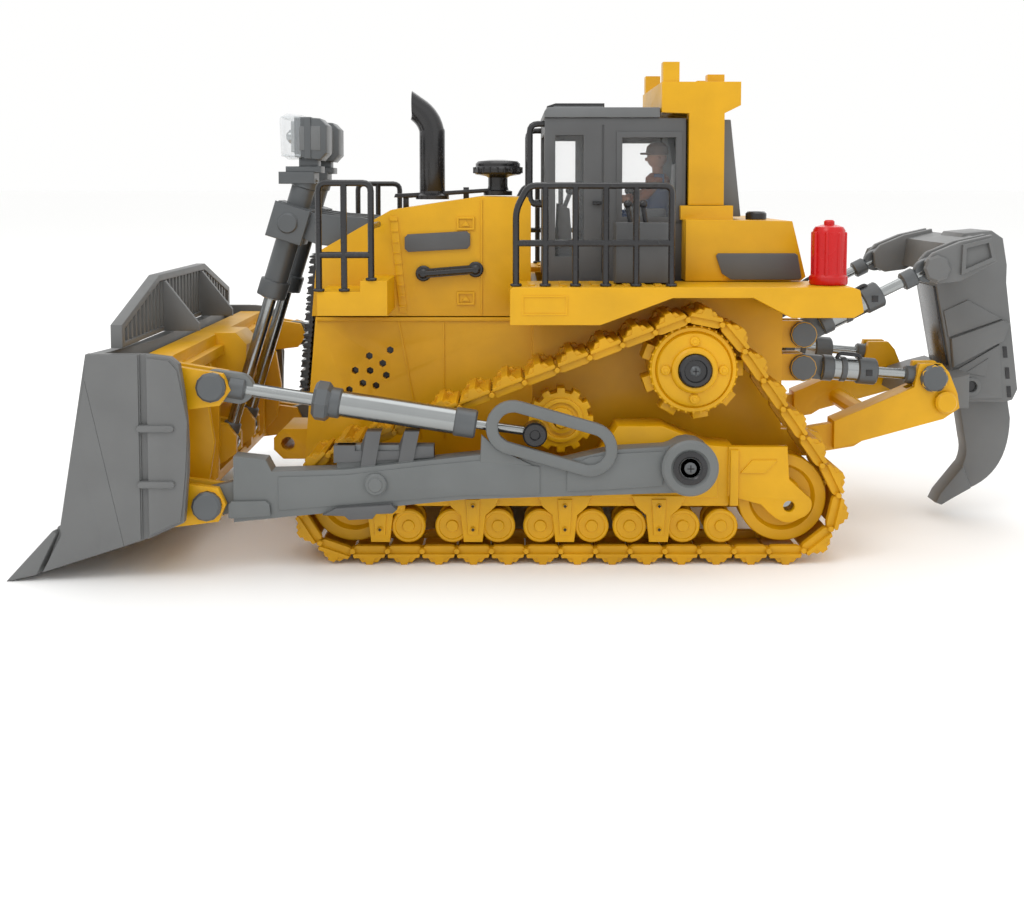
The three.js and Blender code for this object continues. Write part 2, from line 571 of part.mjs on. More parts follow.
function cuttingEdge() {
  return acrossBlade([[-182.6, 18.8], [-200, 0], [-189, 2.4], [-181.4, 17.6]], BLADE_HALF);
}

function spillGuard() {
  const [half, flatHalf, foot, low, high] = [80, 34.5, 84.2, 92.8, 107.7];
  const top = (y) => high - (Math.max(0, Math.abs(y) - flatHalf) * (high - low)) / (half - flatHalf);
  const outline = [[-half, foot], [half, foot], [half, low], [flatHalf, high], [-flatHalf, high], [-half, low]];
  const slots = [];
  for (let y = -66; y <= 66; y += 6) {
    slots.push(box(-170, -150, y - 1.5, y + 1.5, 87, top(Math.abs(y) + 1.5) - 3.6));
  }
  const frame = cut(crossPlate(outline, -163, -159), slots);
  const fins = [-28, 28].map((y) => plate([[-160, foot], [-144.5, foot], [-144.5, 86], [-160, 101]], y - 1.1, y + 1.1));
  return join(frame, fins);
}

function bladeBack() {
  const rear = -142.4;
  const board = box(-153.2, rear, -80, 80, 17, 80.5);
  const ribs = [-56, -30, 30, 56].map((y) => plate([[-143, 18], [-137, 24], [-136, 62], [-143, 78]], y - 1.4, y + 1.4));
  const rails = [[20, 24], [72, 76]].map(([from, to]) => box(-143, -139, -78, 78, from, to));
  const casting = plate([[-143, 50], [-134, 52], [-130, 60], [-129.4, 76], [-134, 81], [-143, 81]], -10.6, 10.6);
  const lowerEar = [[-143, 18], [-124, 20.4], [-121.2, 26.6], [-124, 32.8], [-143, 35.4]];
  const upperEar = [[-143, 61], [-123, 63.4], [-118.9, 69], [-121.8, 75], [-139.6, 78], [-143, 78.4]];
  const ears = [[LOWER_PIN, lowerEar], [UPPER_PIN, upperEar]].map(([place, outline]) => [
    plate(outline, -ARM_Y - 5.2, -ARM_Y - 2.4), plate(outline, -ARM_Y + 2.4, -ARM_Y + 5.2),
    pin(place, PIN_R, -ARM_Y - 5, -ARM_Y + 5), pin(place, EYE_R - 0.1, -ARM_Y - 7.2, -ARM_Y - 4.8, 12)]);
  const lug = [[-143, 26], [-137, 28], [-131.6, 32], [-131.6, 39], [-135, 44], [-143, 46]];
  const lugs = [plate(lug, -LIFT_Y - 5.8, -LIFT_Y - 3), plate(lug, -LIFT_Y + 3, -LIFT_Y + 5.8),
    pin(LIFT_EYE, 2, -LIFT_Y - 5, -LIFT_Y + 5)];
  return join(board, ribs, rails, casting, both(join(ears, lugs)));
}

// ---------------------------------------------------------------- push arms, braces and lift cylinders
function pushArm() {
  const outline = [[-119, 19.8], [-33.5, 28.4], [1.5, 29.2], [48.9, 31], [48.9, 50.4], [40.1, 47.9], [20.6, 46.8],
    [1.5, 42.4], [-28, 45], [-47.1, 43.1], [-77.6, 39.5], [-104.5, 38.7], [-106.7, 43.1], [-119, 44.4]];
  const beam = plate(outline, -ARM_Y - 4, -ARM_Y + 4);
  const tongue = plate(capsule(LOWER_PIN, [-114, 30], EYE_R), -ARM_Y - 2, -ARM_Y + 2);
  const hub = pin(TRUNNION, 10, -ARM_Y - 6.4, -ARM_Y + 5.6, 18);
  const slotLine = [[-15.8, 55.4], [12.4, 47.3]];
  const ring = plate(capsule(...slotLine, 9.6), -ARM_Y - 6, -ARM_Y - 2.6, [capsule(...slotLine, 6.1)]);
  const boss = pin([-66.2, 34.3], 3.9, -ARM_Y - 6, -ARM_Y - 3, 10);
  const legs = [[-72, -66.5], [-58, -52.5]].map(([from, to]) => box(from, to, -ARM_Y - 3, -ARM_Y + 3, 36, 53.4));
  const saddle = join(legs, box(-81, -45, -ARM_Y - 1, -ARM_Y + 3, 38, 48));
  const slot = plate([[-125, 10], [-118.6, 10], [-118.6, 60], [-125, 60]], -ARM_Y - 9, -ARM_Y + 9);
  return cut(join(cut(beam, slot), tongue, hub, ring, boss, saddle), pin(LOWER_PIN, PIN_R + GAP, -90, -60),
    pin(TRUNNION, 4 + 2 * GAP, -90, -60));
}

function brace() {
  const along = towards(UPPER_PIN, [-28.8, 55.4]);
  const place = (distance) => lift3(step(UPPER_PIN, along, distance), -ARM_Y);
  const eye = cut(plate(capsule(UPPER_PIN, step(UPPER_PIN, along, 9), EYE_R), -ARM_Y - 2, -ARM_Y + 2),
    pin(UPPER_PIN, PIN_R + 0.7, -90, -60));
  const parts = [rod(place(8), place(18), 4), rod(place(16), place(40), 1.9, 8), rod(place(36.8), place(43), 7, 6),
    rod(place(42), place(97), BRACE_R, 14), rod(place(96), lift3(BRACE_TAIL, -ARM_Y), 1.75, 8)];
  const roller = pin(BRACE_TAIL, 4.4, -ARM_Y - 6, -ARM_Y + 1.7, 14);
  return join(eye, parts, roller);
}

function liftBarrel() {
  const down = towards(LIFT_PIVOT, LIFT_EYE);
  const place = (distance) => lift3(step(LIFT_PIVOT, down, distance), -LIFT_Y);
  const corner = (along, across) => [LIFT_PIVOT[0] + down[0] * along + down[1] * across,
    LIFT_PIVOT[1] + down[1] * along - down[0] * across];
  const { below, above, radius } = LIFT_BARREL;
  const body = [rod(place(-above), place(below), radius, 14), rod(place(below - 7), place(below), radius + 1.2, 14)];
  const block = plate([corner(-7.5, -7.2), corner(7.5, -7.2), corner(7.5, 7.2), corner(-7.5, 7.2)],
    -LIFT_Y - 6.3, -LIFT_Y + 6.3);
  const trunnions = pin(LIFT_PIVOT, 2, -LIFT_Y - 9, -LIFT_Y + 9, 8);
  return cut(join(body, block, trunnions), rod(place(-above + 2), place(below + 1), 3.1));
}

function liftRod() {
  const up = towards(LIFT_EYE, LIFT_PIVOT);
  const place = (distance) => lift3(step(LIFT_EYE, up, distance), -LIFT_Y);
  const reach = Math.hypot(LIFT_EYE[0] - LIFT_PIVOT[0], LIFT_EYE[1] - LIFT_PIVOT[1]) - LIFT_BARREL.below + 12;
  const eye = pin(LIFT_EYE, 5, -LIFT_Y - 2.6, -LIFT_Y + 2.6, 14);
  return cut(join(eye, rod(place(4), place(reach), 2.6, 8)), pin(LIFT_EYE, 3.7, -LIFT_Y - 4, -LIFT_Y + 4));
}

function lamp() {
  const base = box(-109.6, -87.7, -LIFT_Y - 5, -LIFT_Y + 5, 148.9, 152.4);
  const neck = box(-105, -96, -LIFT_Y - 4, -LIFT_Y + 4, 152, 155);
  const housing = plate([[-110.4, 155.6], [-108, 153.8], [-94, 153.8], [-91.3, 157], [-91.3, 168], [-94, 171.4],
    [-108.6, 173.4], [-111.8, 172]], -LIFT_Y - 8, -LIFT_Y + 8);
  return join(base, neck, housing);
}

// ---------------------------------------------------------------- ripper
function ripperArm() {
  const outer = -RIPPER_Y - CLEVIS - CHEEK;
  const inner = -RIPPER_Y + CLEVIS + CHEEK;
  const tongue = plate(capsule(RIP_ARM_PIVOT, [122, 43], 5.4), -RIPPER_Y - 2, -RIPPER_Y + 2);
  const beam = plate([[114, 37.4], [158, 49.5], [164.5, 54], [163.5, 60], [160, 68.5], [157, 72], [148, 72], [146, 62.4],
    [114, 48.6]], outer, inner);
  const slot = plate([[144, 60.4], [161, 60.4], [161, 75], [142, 75]], -RIPPER_Y - CLEVIS, -RIPPER_Y + CLEVIS);
  const bolt = [pin(RIP_LOWER.end, PIN_R, outer, inner), hexPin(RIP_LOWER.end, outer - 2, outer + 0.5)];
  const side = join(cut(beam, slot), tongue, bolt);
  const bored = cut(side, pin(RIP_ARM_PIVOT, PIN_R + GAP, -60, -10), pin(RIP_HEAD_PIVOT, PIN_R + GAP, -60, -10));
  const crossTube = rod([134, -29, 46.5], [134, 29, 46.5], 4, 10);
  return join(both(bored), crossTube);
}

function ripperHead() {
  const body = plate([[165, 100.4], [158, 108], [164, 122], [188, 125], [193, 121], [195, 106], [199.6, 60], [197, 51.4],
    [175.4, 51.8]], -12, 12);
  const ear = [[148.6, 108], [148.6, 113], [152, 117], [166, 122], [183, 123.4], [184, 105.4], [168, 100.6], [151, 104.6]];
  const cheeks = clevisCheeks(ear, -RIPPER_Y);
  const outerFace = -RIPPER_Y - CLEVIS - CHEEK;
  const bolt = [pin(RIP_UPPER.end, PIN_R, outerFace, -27), hexPin(RIP_UPPER.end, outerFace - 2, outerFace + 0.5)];
  const shoulder = plate([[166, 103.4], [182, 106], [182, 121.6], [166, 120]], -30, 30);
  const shaft = pin(RIP_HEAD_PIVOT, PIN_R, -39.8, 39.8);
  const web = plate([[154.5, 52.5], [176, 52], [180, 70], [168, 72], [155, 61]], -27.4, 27.4);
  const pocket = plate([[172, 62], [190, 66], [186, 88], [170.5, 94]], -13, -9);
  const socket = box(176, 192, -4.3, 4.3, 50, 60);
  return cut(join(body, both(join(cheeks, bolt)), shoulder, shaft, web), both(pocket), socket);
}

function ripperShank() {
  const blade = plate([[178, 59], [190, 59], [190, 51], [199.4, 50.6], [200, 47], ...curve([200, 35], [196.4, 20], [184.5, 11.5], 5),
    [171.6, 4.6], [169.6, 5.4], [176.6, 15.8], [182.4, 18.7], ...curve([183.8, 27.4], [181, 40], [178.7, 50.6], 3)], -3.8, 3.8);
  const tip = plate([[185, 11.4], [171.6, 4], [168.8, 5.5], [175.6, 16.4], [183, 19.4]], -4.6, 4.6);
  return join(blade, tip);
}

// Barrel and rod of a ripper cylinder: the base eye turns on the chassis, the rod eye on the ripper.
function ripperBarrel({ base, end }, length) {
  const along = towards(base, end);
  const place = (distance) => lift3(step(base, along, distance), -RIPPER_Y);
  const eye = plate(capsule(base, step(base, along, 9), 4.8), -RIPPER_Y - 1.9, -RIPPER_Y + 1.9);
  const body = [rod(place(8.4), place(length), 5, 10), rod(place(length - 4), place(length), 5.8, 4)];
  return cut(join(eye, body), pin(base, PIN_R + GAP, -60, -10), rod(place(11), place(length + 1), 2.6, 8));
}

function ripperRod({ base, end }, length) {
  const back = towards(end, base);
  const place = (distance) => lift3(step(end, back, distance), -RIPPER_Y);
  const eye = plate(capsule(end, step(end, back, 3), 4.6), -RIPPER_Y - 1.9, -RIPPER_Y + 1.9);
  return cut(join(eye, rod(place(3), place(length), 2, 8)), pin(end, PIN_R + 0.8, -60, -10));
}

// ---------------------------------------------------------------- assembly
const group = new THREE.Group();
group.name = 'toy_bulldozer';

function add(name, piece, material) {
  const { vertProperties, triVerts } = piece.getMesh();
  const geometry = new THREE.BufferGeometry();
  geometry.setAttribute('position', new THREE.Float32BufferAttribute(vertProperties, 3));
  geometry.setIndex(Array.from(triVerts));
  geometry.computeVertexNormals();
  const mesh = new THREE.Mesh(geometry, material);
  mesh.name = name;
  group.add(mesh);
}

function addPair(name, piece, material) {
  add(`${name}_left`, piece, material);
  add(`${name}_right`, mirrored(piece), material);
}

add('chassis', chassis(), yellow);
add('battery_cover', batteryCover(), darkGrey);
add('battery_pack', batteryPack(), denim);
add('drive_gearbox', driveGearbox(), black);
add('circuit_board', circuitBoard(), boardGreen);
add('hood', hood(), yellow);
add('radiator_grille', radiatorGrille(), black);
add('exhaust_stack', exhaustStack(), black);
add('air_precleaner', airPrecleaner(), black);
addPair('fender', fender(), yellow);
add('rear_body', rearBody(), yellow);
add('cab_shell', cabShell(), darkGrey);
add('cab_roof', cabRoof(), roofGrey);
add('cab_glazing', cabGlazing(), glass);
add('rops_frame', ropsFrame(), yellow);
add('seat_console', seatConsole(), darkGrey);
add('driver', driver(), denim);
add('extinguisher', extinguisher(), red);
addPair('deck_rail', deckRail(), black);
addPair('front_rail', frontRail(), black);
addPair('track', track(), beltYellow);
addPair('sprocket', sprocket(), yellow);
addPair('front_idler', idler(FRONT_IDLER), yellow);
addPair('rear_idler', idler(REAR_IDLER), yellow);
addPair('carrier', carrier(), yellow);
addPair('roller_frame', rollerFrame(), yellow);
add('blade_shell', bladeShell(), bladeGrey);
add('blade_back', bladeBack(), yellow);
add('cutting_edge', cuttingEdge(), bladeGrey);
add('spill_guard', spillGuard(), bladeGrey);
addPair('push_arm', pushArm(), armGrey);
addPair('brace', brace(), chrome);
addPair('lift_barrel', liftBarrel(), chrome);
addPair('lift_rod', liftRod(), chrome);
addPair('lamp', lamp(), black);
add('ripper_arm', ripperArm(), yellow);
add('ripper_head', ripperHead(), bladeGrey);
add('ripper_shank', ripperShank(), bladeGrey);
addPair('ripper_upper_barrel', ripperBarrel(RIP_UPPER, 36), chrome);
addPair('ripper_upper_rod', ripperRod(RIP_UPPER, 36), chrome);
addPair('ripper_lower_barrel', ripperBarrel(RIP_LOWER, 31), chrome);
addPair('ripper_lower_rod', ripperRod(RIP_LOWER, 29), chrome);

export default group;
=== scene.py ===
"""Looks of a toy crawler bulldozer with ripper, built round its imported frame."""

import json
from math import acos, atan2, cos, hypot, pi, radians, sin

import bmesh
import bpy
from mathutils import Matrix, Vector


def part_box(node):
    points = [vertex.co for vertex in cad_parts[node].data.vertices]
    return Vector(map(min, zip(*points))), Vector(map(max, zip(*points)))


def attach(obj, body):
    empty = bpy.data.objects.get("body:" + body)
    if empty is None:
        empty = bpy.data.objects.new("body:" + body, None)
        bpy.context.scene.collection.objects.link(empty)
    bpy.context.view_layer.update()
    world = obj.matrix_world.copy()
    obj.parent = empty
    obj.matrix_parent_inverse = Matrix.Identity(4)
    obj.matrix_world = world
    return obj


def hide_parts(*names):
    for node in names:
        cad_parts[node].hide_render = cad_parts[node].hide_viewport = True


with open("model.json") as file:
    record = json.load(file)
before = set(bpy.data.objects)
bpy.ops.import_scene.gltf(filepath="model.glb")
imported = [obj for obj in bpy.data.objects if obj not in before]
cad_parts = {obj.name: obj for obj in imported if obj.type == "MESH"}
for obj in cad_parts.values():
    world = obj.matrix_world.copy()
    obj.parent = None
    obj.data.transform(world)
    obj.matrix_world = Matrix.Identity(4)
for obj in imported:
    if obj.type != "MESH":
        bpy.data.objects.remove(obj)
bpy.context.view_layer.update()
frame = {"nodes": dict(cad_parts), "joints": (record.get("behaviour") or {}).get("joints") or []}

MM = 0.001
SIDES = ("left", "right")

# ---- sizes, in millimetres
SHOES = 37
BELT_PITCH_LINE = 19.5
SHOE_TIP = 24.0
ARM_Y = 77.0
LIFT_Y = 17.0
RIPPER_Y = 33.0
DECK_TOP = 105.7
RAIL_TUBE = 1.25
TUB_FACE = 30
CAB_FACE = 32
REAR_FACE = 44.6
BLADE_FACE = 88
SHANK_FACE = 12
EXHAUST_X = -50.6
PRECLEANER_X = -22.3
BOTTLE_X, BOTTLE_Y = 105.1, -58
ROLLER_Z = 13.9
ROLLERS = (-55.7, -39, -21.5, -5.4, 14.2, 28.7, 49, 63.5)
BOGIES = (-66.3, -31, 3.9, 39.6)
GRILLE_RIBS = 27
GUARD_BARS = 32


def pivot(joint):
    """Place of a joint in the side view, as (x, z) in millimetres."""
    for row in frame["joints"]:
        if row["name"] == joint:
            return row["pos_m"][0] / MM, row["pos_m"][2] / MM
    raise KeyError(joint)


def node_box(node):
    """Lowest and highest corner of a frame node, in millimetres."""
    low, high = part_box(node)
    return low / MM, high / MM


SPROCKET = pivot("sprocket_spin_left")
FRONT_IDLER = pivot("front_idler_spin_left")
REAR_IDLER = pivot("rear_idler_spin_left")
CARRIER = pivot("carrier_spin_left")
TRUNNION = pivot("blade_lift")
LOWER_PIN = pivot("blade_pitch")
LIFT_PIVOT = pivot("lift_barrel_tilt_left")
UPPER_BASE = pivot("ripper_upper_tilt_left")
LOWER_BASE = pivot("ripper_lower_tilt_left")
HEAD_PIVOT = pivot("ripper_head_level")
UPPER_PIN = (-125.6, 70.4)
LIFT_EYE = (-136.6, 35.5)
UPPER_END = (153.8, 110.5)
LOWER_END = (153.5, 66.2)
BRACE_TAIL = (-7.8, 52.6)


# ---- materials
def linear(channel):
    """One 0 to 255 colour channel as linear light."""
    share = channel / 255
    return share / 12.92 if share <= 0.04045 else ((share + 0.055) / 1.055) ** 2.4


def finish_material(name, srgb, rough, metal=0.0, grain=0.012, patch=0.08, scuff_and_highlight=0.16, coat=0.0):
    """Moulded, painted or plated finish: mottled colour, uneven gloss, fine grain, and edges made lighter,
    partly as scuffing and partly as a painted highlight.
    """
    material = bpy.data.materials.new(name)
    material.use_nodes = True
    nodes, links = material.node_tree.nodes, material.node_tree.links
    shader = nodes["Principled BSDF"]
    shader.inputs["Metallic"].default_value = metal
    shader.inputs["Specular IOR Level"].default_value = 0.35
    shader.inputs["Coat Weight"].default_value = coat
    shader.inputs["Coat Roughness"].default_value = 0.18
    base = [linear(c) for c in srgb]
    place = nodes.new("ShaderNodeTexCoord")

    def texture(scale, detail):
        made = nodes.new("ShaderNodeTexNoise")
        made.inputs["Scale"].default_value = scale
        made.inputs["Detail"].default_value = detail
        links.new(place.outputs["Object"], made.inputs["Vector"])
        return made.outputs["Fac"]

    mottle = nodes.new("ShaderNodeValToRGB")
    mottle.color_ramp.elements[0].position = 0.3
    mottle.color_ramp.elements[1].position = 0.7
    mottle.color_ramp.elements[0].color = (*[c * (1 - patch) for c in base], 1)
    mottle.color_ramp.elements[1].color = (*[min(1, c * (1 + patch)) for c in base], 1)
    links.new(texture(55, 4), mottle.inputs["Fac"])

    rounded_edge = nodes.new("ShaderNodeBevel")
    rounded_edge.samples = 3
    rounded_edge.inputs["Radius"].default_value = 0.0005
    facing = nodes.new("ShaderNodeVectorMath")
    facing.operation = "DOT_PRODUCT"
    surface = nodes.new("ShaderNodeNewGeometry")
    links.new(rounded_edge.outputs["Normal"], facing.inputs[0])
    links.new(surface.outputs["Normal"], facing.inputs[1])
    # edges lighter than the faces: partly scuffing, partly a painted highlight
    scuff_and_highlight_mask = nodes.new("ShaderNodeMapRange")
    scuff_and_highlight_mask.inputs["From Min"].default_value = 0.995
    scuff_and_highlight_mask.inputs["From Max"].default_value = 0.86
    scuff_and_highlight_mask.inputs["To Max"].default_value = scuff_and_highlight
    links.new(facing.outputs["Value"], scuff_and_highlight_mask.inputs["Value"])
    scuff_and_highlight_colour = nodes.new("ShaderNodeMix")
    scuff_and_highlight_colour.data_type = "RGBA"
    scuff_and_highlight_colour.inputs[7].default_value = (*[min(1, c * 1.4 + 0.015) for c in base], 1)
    links.new(scuff_and_highlight_mask.outputs["Result"], scuff_and_highlight_colour.inputs[0])
    links.new(mottle.outputs["Color"], scuff_and_highlight_colour.inputs[6])
    links.new(scuff_and_highlight_colour.outputs[2], shader.inputs["Base Color"])

    gloss = nodes.new("ShaderNodeMapRange")
    gloss.inputs["To Min"].default_value = max(0.03, rough - 0.07)
    gloss.inputs["To Max"].default_value = rough + 0.09
    links.new(texture(190, 5), gloss.inputs["Value"])
    links.new(gloss.outputs["Result"], shader.inputs["Roughness"])

    bump = nodes.new("ShaderNodeBump")
    bump.inputs["Strength"].default_value = 0.35
    bump.inputs["Distance"].default_value = grain * MM
    links.new(texture(2600, 2), bump.inputs["Height"])
    links.new(bump.outputs["Normal"], shader.inputs["Normal"])
    return material


def clear_material(name, tint, alpha):
    """Clear moulded pane with faint flow marks."""
    # the pane's edges are lightened more: partly scuffing, partly a painted highlight
    material = finish_material(name, tint, 0.08, grain=0.004, patch=0.03, scuff_and_highlight=0.3)
    shader = material.node_tree.nodes["Principled BSDF"]
    shader.inputs["Alpha"].default_value = alpha
    shader.inputs["Specular IOR Level"].default_value = 0.7
    return material


YELLOW = finish_material("yellow_plastic", (213, 159, 5), 0.4, coat=0.04)
BELT = finish_material("belt_plastic", (200, 147, 8), 0.48, patch=0.12, grain=0.03)
GREY = finish_material("blade_grey", (105, 106, 106), 0.42, grain=0.02, patch=0.06)
ARM = finish_material("arm_grey", (105, 108, 108), 0.4, grain=0.02, patch=0.06)
CHROME = finish_material("chrome_plate", (156, 159, 159), 0.2, metal=0.95, grain=0.002, patch=0.03)
GUN = finish_material("gun_grey", (92, 95, 97), 0.36, metal=0.35, grain=0.01)
DARK = finish_material("dark_grey", (88, 89, 90), 0.45, grain=0.02)
BLACK = finish_material("black_gloss", (34, 34, 36), 0.26, grain=0.006, coat=0.3)
ROOF = finish_material("roof_grey", (106, 108, 109), 0.45, grain=0.02)
RED = finish_material("red_gloss", (190, 2, 6), 0.26, coat=0.15)
DENIM = finish_material("figure_blue", (46, 74, 122), 0.8, grain=0.05, patch=0.15)
SHIRT = finish_material("figure_brown", (156, 88, 50), 0.8, grain=0.05, patch=0.15)
SKIN = finish_material("figure_skin", (196, 142, 114), 0.6, patch=0.06)
CAP = finish_material("figure_cap", (104, 76, 58), 0.8, grain=0.05, patch=0.1)
BOARD = finish_material("board_green", (48, 106, 60), 0.5)
GLASS = clear_material("clear_pane", (236, 240, 242), 0.06)
LENS = clear_material("lamp_lens", (214, 220, 224), 0.24)


# ---- mesh building, in millimetres
def taken(mesh):
    """Takes a mesh over as an editable one, its seams closed and its normals outward."""
    made = bmesh.new()
    made.from_mesh(mesh)
    bpy.data.meshes.remove(mesh)
    bmesh.ops.remove_doubles(made, verts=made.verts, dist=0.004)
    bmesh.ops.recalc_face_normals(made, faces=made.faces)
    return made


def plate(outline, y_from, y_to, bevel=0.35, holes=()):
    """Bevelled plate with its outline in the side view (x, z), between two y planes."""
    y_from, y_to = min(y_from, y_to), max(y_from, y_to)
    bevel = min(bevel, (y_to - y_from) * 0.42)
    curve = bpy.data.curves.new("outline", "CURVE")
    curve.dimensions = "2D"
    curve.fill_mode = "BOTH"
    curve.extrude = (y_to - y_from) / 2 - bevel
    curve.bevel_depth = bevel
    curve.bevel_resolution = 1
    curve.offset = -bevel
    for loop in (outline, *holes):
        spline = curve.splines.new("POLY")
        spline.points.add(len(loop) - 1)
        spline.use_cyclic_u = True
        for point, (x, z) in zip(spline.points, loop):
            point.co = (x, z, 0, 1)
    holder = bpy.data.objects.new("outline", curve)
    made = taken(bpy.data.meshes.new_from_object(holder))
    bpy.data.objects.remove(holder)
    bpy.data.curves.remove(curve)
    made.transform(Matrix.Translation((0, (y_from + y_to) / 2, 0)) @ Matrix.Rotation(pi / 2, 4, "X"))
    return made


def cross_plate(outline, x_from, x_to, bevel=0.35, holes=()):
    """The same with its outline in the front view (y, z), between two x planes."""
    made = plate(outline, x_from, x_to, bevel, holes)
    made.transform(Matrix(((0, 1, 0, 0), (1, 0, 0, 0), (0, 0, 1, 0), (0, 0, 0, 1))))
    bmesh.ops.reverse_faces(made, faces=made.faces)
    return made


def flat_plate(outline, z_from, z_to, bevel=0.35):
    """The same with its outline seen from above (x, y), between two z planes."""
    made = plate(outline, z_from, z_to, bevel)
    made.transform(Matrix(((1, 0, 0, 0), (0, 0, 1, 0), (0, 1, 0, 0), (0, 0, 0, 1))))
    bmesh.ops.reverse_faces(made, faces=made.faces)
    return made


def block(x0, x1, y0, y1, z0, z1, bevel=0.35):
    """Bevelled box."""
    return plate([(x0, z0), (x1, z0), (x1, z1), (x0, z1)], y0, y1, bevel)


def lathe(profile, start, end, steps=40):
    """Profile of (radius, distance) pairs turned about the line from start towards end."""
    start, end = Vector(start), Vector(end)
    turn = Vector((0, 0, 1)).rotation_difference((end - start).normalized()).to_matrix().to_4x4()
    made = bmesh.new()
    rings = []
    for radius, along in profile:
        if radius < 1e-6:
            rings.append([made.verts.new((0, 0, along))])
            continue
        rings.append([made.verts.new((radius * cos(2 * pi * i / steps), radius * sin(2 * pi * i / steps),
            along)) for i in range(steps)])
    for a, b in zip(rings, rings[1:]):
        for i in range(steps):
            j = (i + 1) % steps
            corners = [a[i % len(a)], a[j % len(a)], b[j % len(b)], b[i % len(b)]]
            made.faces.new(list(dict.fromkeys(corners)))
    for ring in (rings[0], rings[-1]):
        if len(ring) > 1:
            made.faces.new(ring)
    bmesh.ops.recalc_face_normals(made, faces=made.faces)
    made.transform(Matrix.Translation(start) @ turn)
    return made


def ring_lathe(profile, centre, steps=48):
    """Closed profile of (radius, reach) pairs turned about the y line through a centre."""
    made = bmesh.new()
    rings = []
    for i in range(steps):
        turn = 2 * pi * i / steps
        rings.append([made.verts.new((centre[0] + radius * cos(turn),
            centre[1] + reach, centre[2] + radius * sin(turn))) for radius, reach in profile[:-1]])
    count = len(profile) - 1
    for i, near in enumerate(rings):
        far = rings[(i + 1) % steps]
        for k in range(count):
            made.faces.new((near[k], near[(k + 1) % count], far[(k + 1) % count], far[k]))
    bmesh.ops.recalc_face_normals(made, faces=made.faces)
    return made


def rod(start, end, radius, chamfer=0.4, steps=28):
    """Round bar with chamfered ends."""
    length = (Vector(end) - Vector(start)).length
    chamfer = min(chamfer, radius * 0.45, length * 0.4)
    return lathe([(radius - chamfer, 0), (radius, chamfer), (radius, length - chamfer),
        (radius - chamfer, length)], start, end, steps)


def disc(place, radius, y_from, y_to, chamfer=0.4, steps=36):
    """Short round bar across the machine."""
    return rod((place[0], y_from, place[1]), (place[0], y_to, place[1]), radius, chamfer, steps)


def ring(place, outer, inner, y_from, y_to, steps=40):
    """Flat ring across the machine."""
    return plate(circle(place, outer, steps), y_from, y_to, 0.3, [circle(place, inner, steps)])


def ball(centre, radius, steps=24):
    """Sphere."""
    profile = [(radius * sin(pi * i / 14), -radius * cos(pi * i / 14)) for i in range(15)]
    profile[0], profile[-1] = (0, -radius), (0, radius)
    return lathe(profile, centre, Vector(centre) + Vector((0, 0, 1)), steps)


def tube(points, radius, corner=3.0):
    """Round bar through points, its corners rounded."""
    points = [Vector(p) for p in points]
    path = [points[0]]
    for before, at, after in zip(points, points[1:], points[2:]):
        into = min(corner, (at - before).length / 2)
        out = min(corner, (after - at).length / 2)
        a = at + (before - at).normalized() * into
        b = at + (after - at).normalized() * out
        path += [a.lerp(at, t).lerp(at.lerp(b, t), t) for t in (0, 0.25, 0.5, 0.75, 1)]
    path.append(points[-1])
    curve = bpy.data.curves.new("bar", "CURVE")
    curve.dimensions = "3D"
    curve.bevel_depth = radius
    curve.bevel_resolution = 4
    curve.use_fill_caps = True
    spline = curve.splines.new("POLY")
    spline.points.add(len(path) - 1)
    for point, at in zip(spline.points, path):
        point.co = (*at, 1)
    holder = bpy.data.objects.new("bar", curve)
    made = taken(bpy.data.meshes.new_from_object(holder))
    bpy.data.objects.remove(holder)
    bpy.data.curves.remove(curve)
    return made


def moulded(node, edge=0.35):
    """The node's own shape with its flat faces made whole and its sharp edges rounded."""
    made = bmesh.new()
    made.from_mesh(frame["nodes"][node].data)
    made.transform(Matrix.Scale(1 / MM, 4))
    bmesh.ops.remove_doubles(made, verts=made.verts, dist=0.01)
    bmesh.ops.dissolve_limit(made, angle_limit=radians(2), verts=made.verts, edges=made.edges)
    sharp = [e for e in made.edges if len(e.link_faces) == 2 and e.calc_face_angle(0) > radians(24)]
    bmesh.ops.bevel(made, geom=sharp, offset=edge, offset_type="OFFSET", segments=2, profile=0.6,
        affect="EDGES", clamp_overlap=True)
    return made


def around(place, radius, turn):
    """Point at a radius and an angle round a place in the side view."""
    return place[0] + radius * cos(turn), place[1] + radius * sin(turn)


def circle(place, radius, count=32, start=0.0):
    """Round outline."""
    return [around(place, radius, start + 2 * pi * i / count) for i in range(count)]


def capsule(a, b, radius, count=12):
    """Outline of a bar with two round ends."""
    heading = atan2(b[1] - a[1], b[0] - a[0])
    points = []
    for at, start in ((b, heading - pi / 2), (a, heading + pi / 2)):
        points += [around(at, radius, start + pi * i / count) for i in range(count + 1)]
    return points


def bend(start, control, end, count=8):
    """Points of a curve that leaves start and reaches end by way of a control point."""
    points = []
    for i in range(count + 1):
        t = i / count
        weights = ((1 - t) ** 2, 2 * t * (1 - t), t * t)
        points.append(tuple(sum(w * p[k] for w, p in zip(weights, (start, control, end))) for k in (0, 1)))
    return points


def towards(a, b, distance, y=0.0):
    """Point at a distance from a on the way to b in the side view, lifted to a y plane."""
    span = hypot(b[0] - a[0], b[1] - a[1])
    return a[0] + (b[0] - a[0]) * distance / span, y, a[1] + (b[1] - a[1]) * distance / span


def screw(place, y, out=-1, radius=1.7):
    """Pan-head screw standing out of a side face: head, and a black cross on it as painted shade for its
    recess.
    """
    head = lathe([(radius, 0), (radius, 0.5), (radius * 0.7, 0.95), (0, 1.05)], (place[0], y, place[1]),
        (place[0], y + out, place[1]), 20)
    tip = y + out * 1.12
    # black cross: painted shade standing for the cross recess
    cross = [block(place[0] - a, place[0] + a, tip - 0.1, tip + 0.1, place[1] - b, place[1] + b, 0.02) for a,
        b in ((radius * 0.6, 0.24), (0.24, radius * 0.6))]
    return head, cross


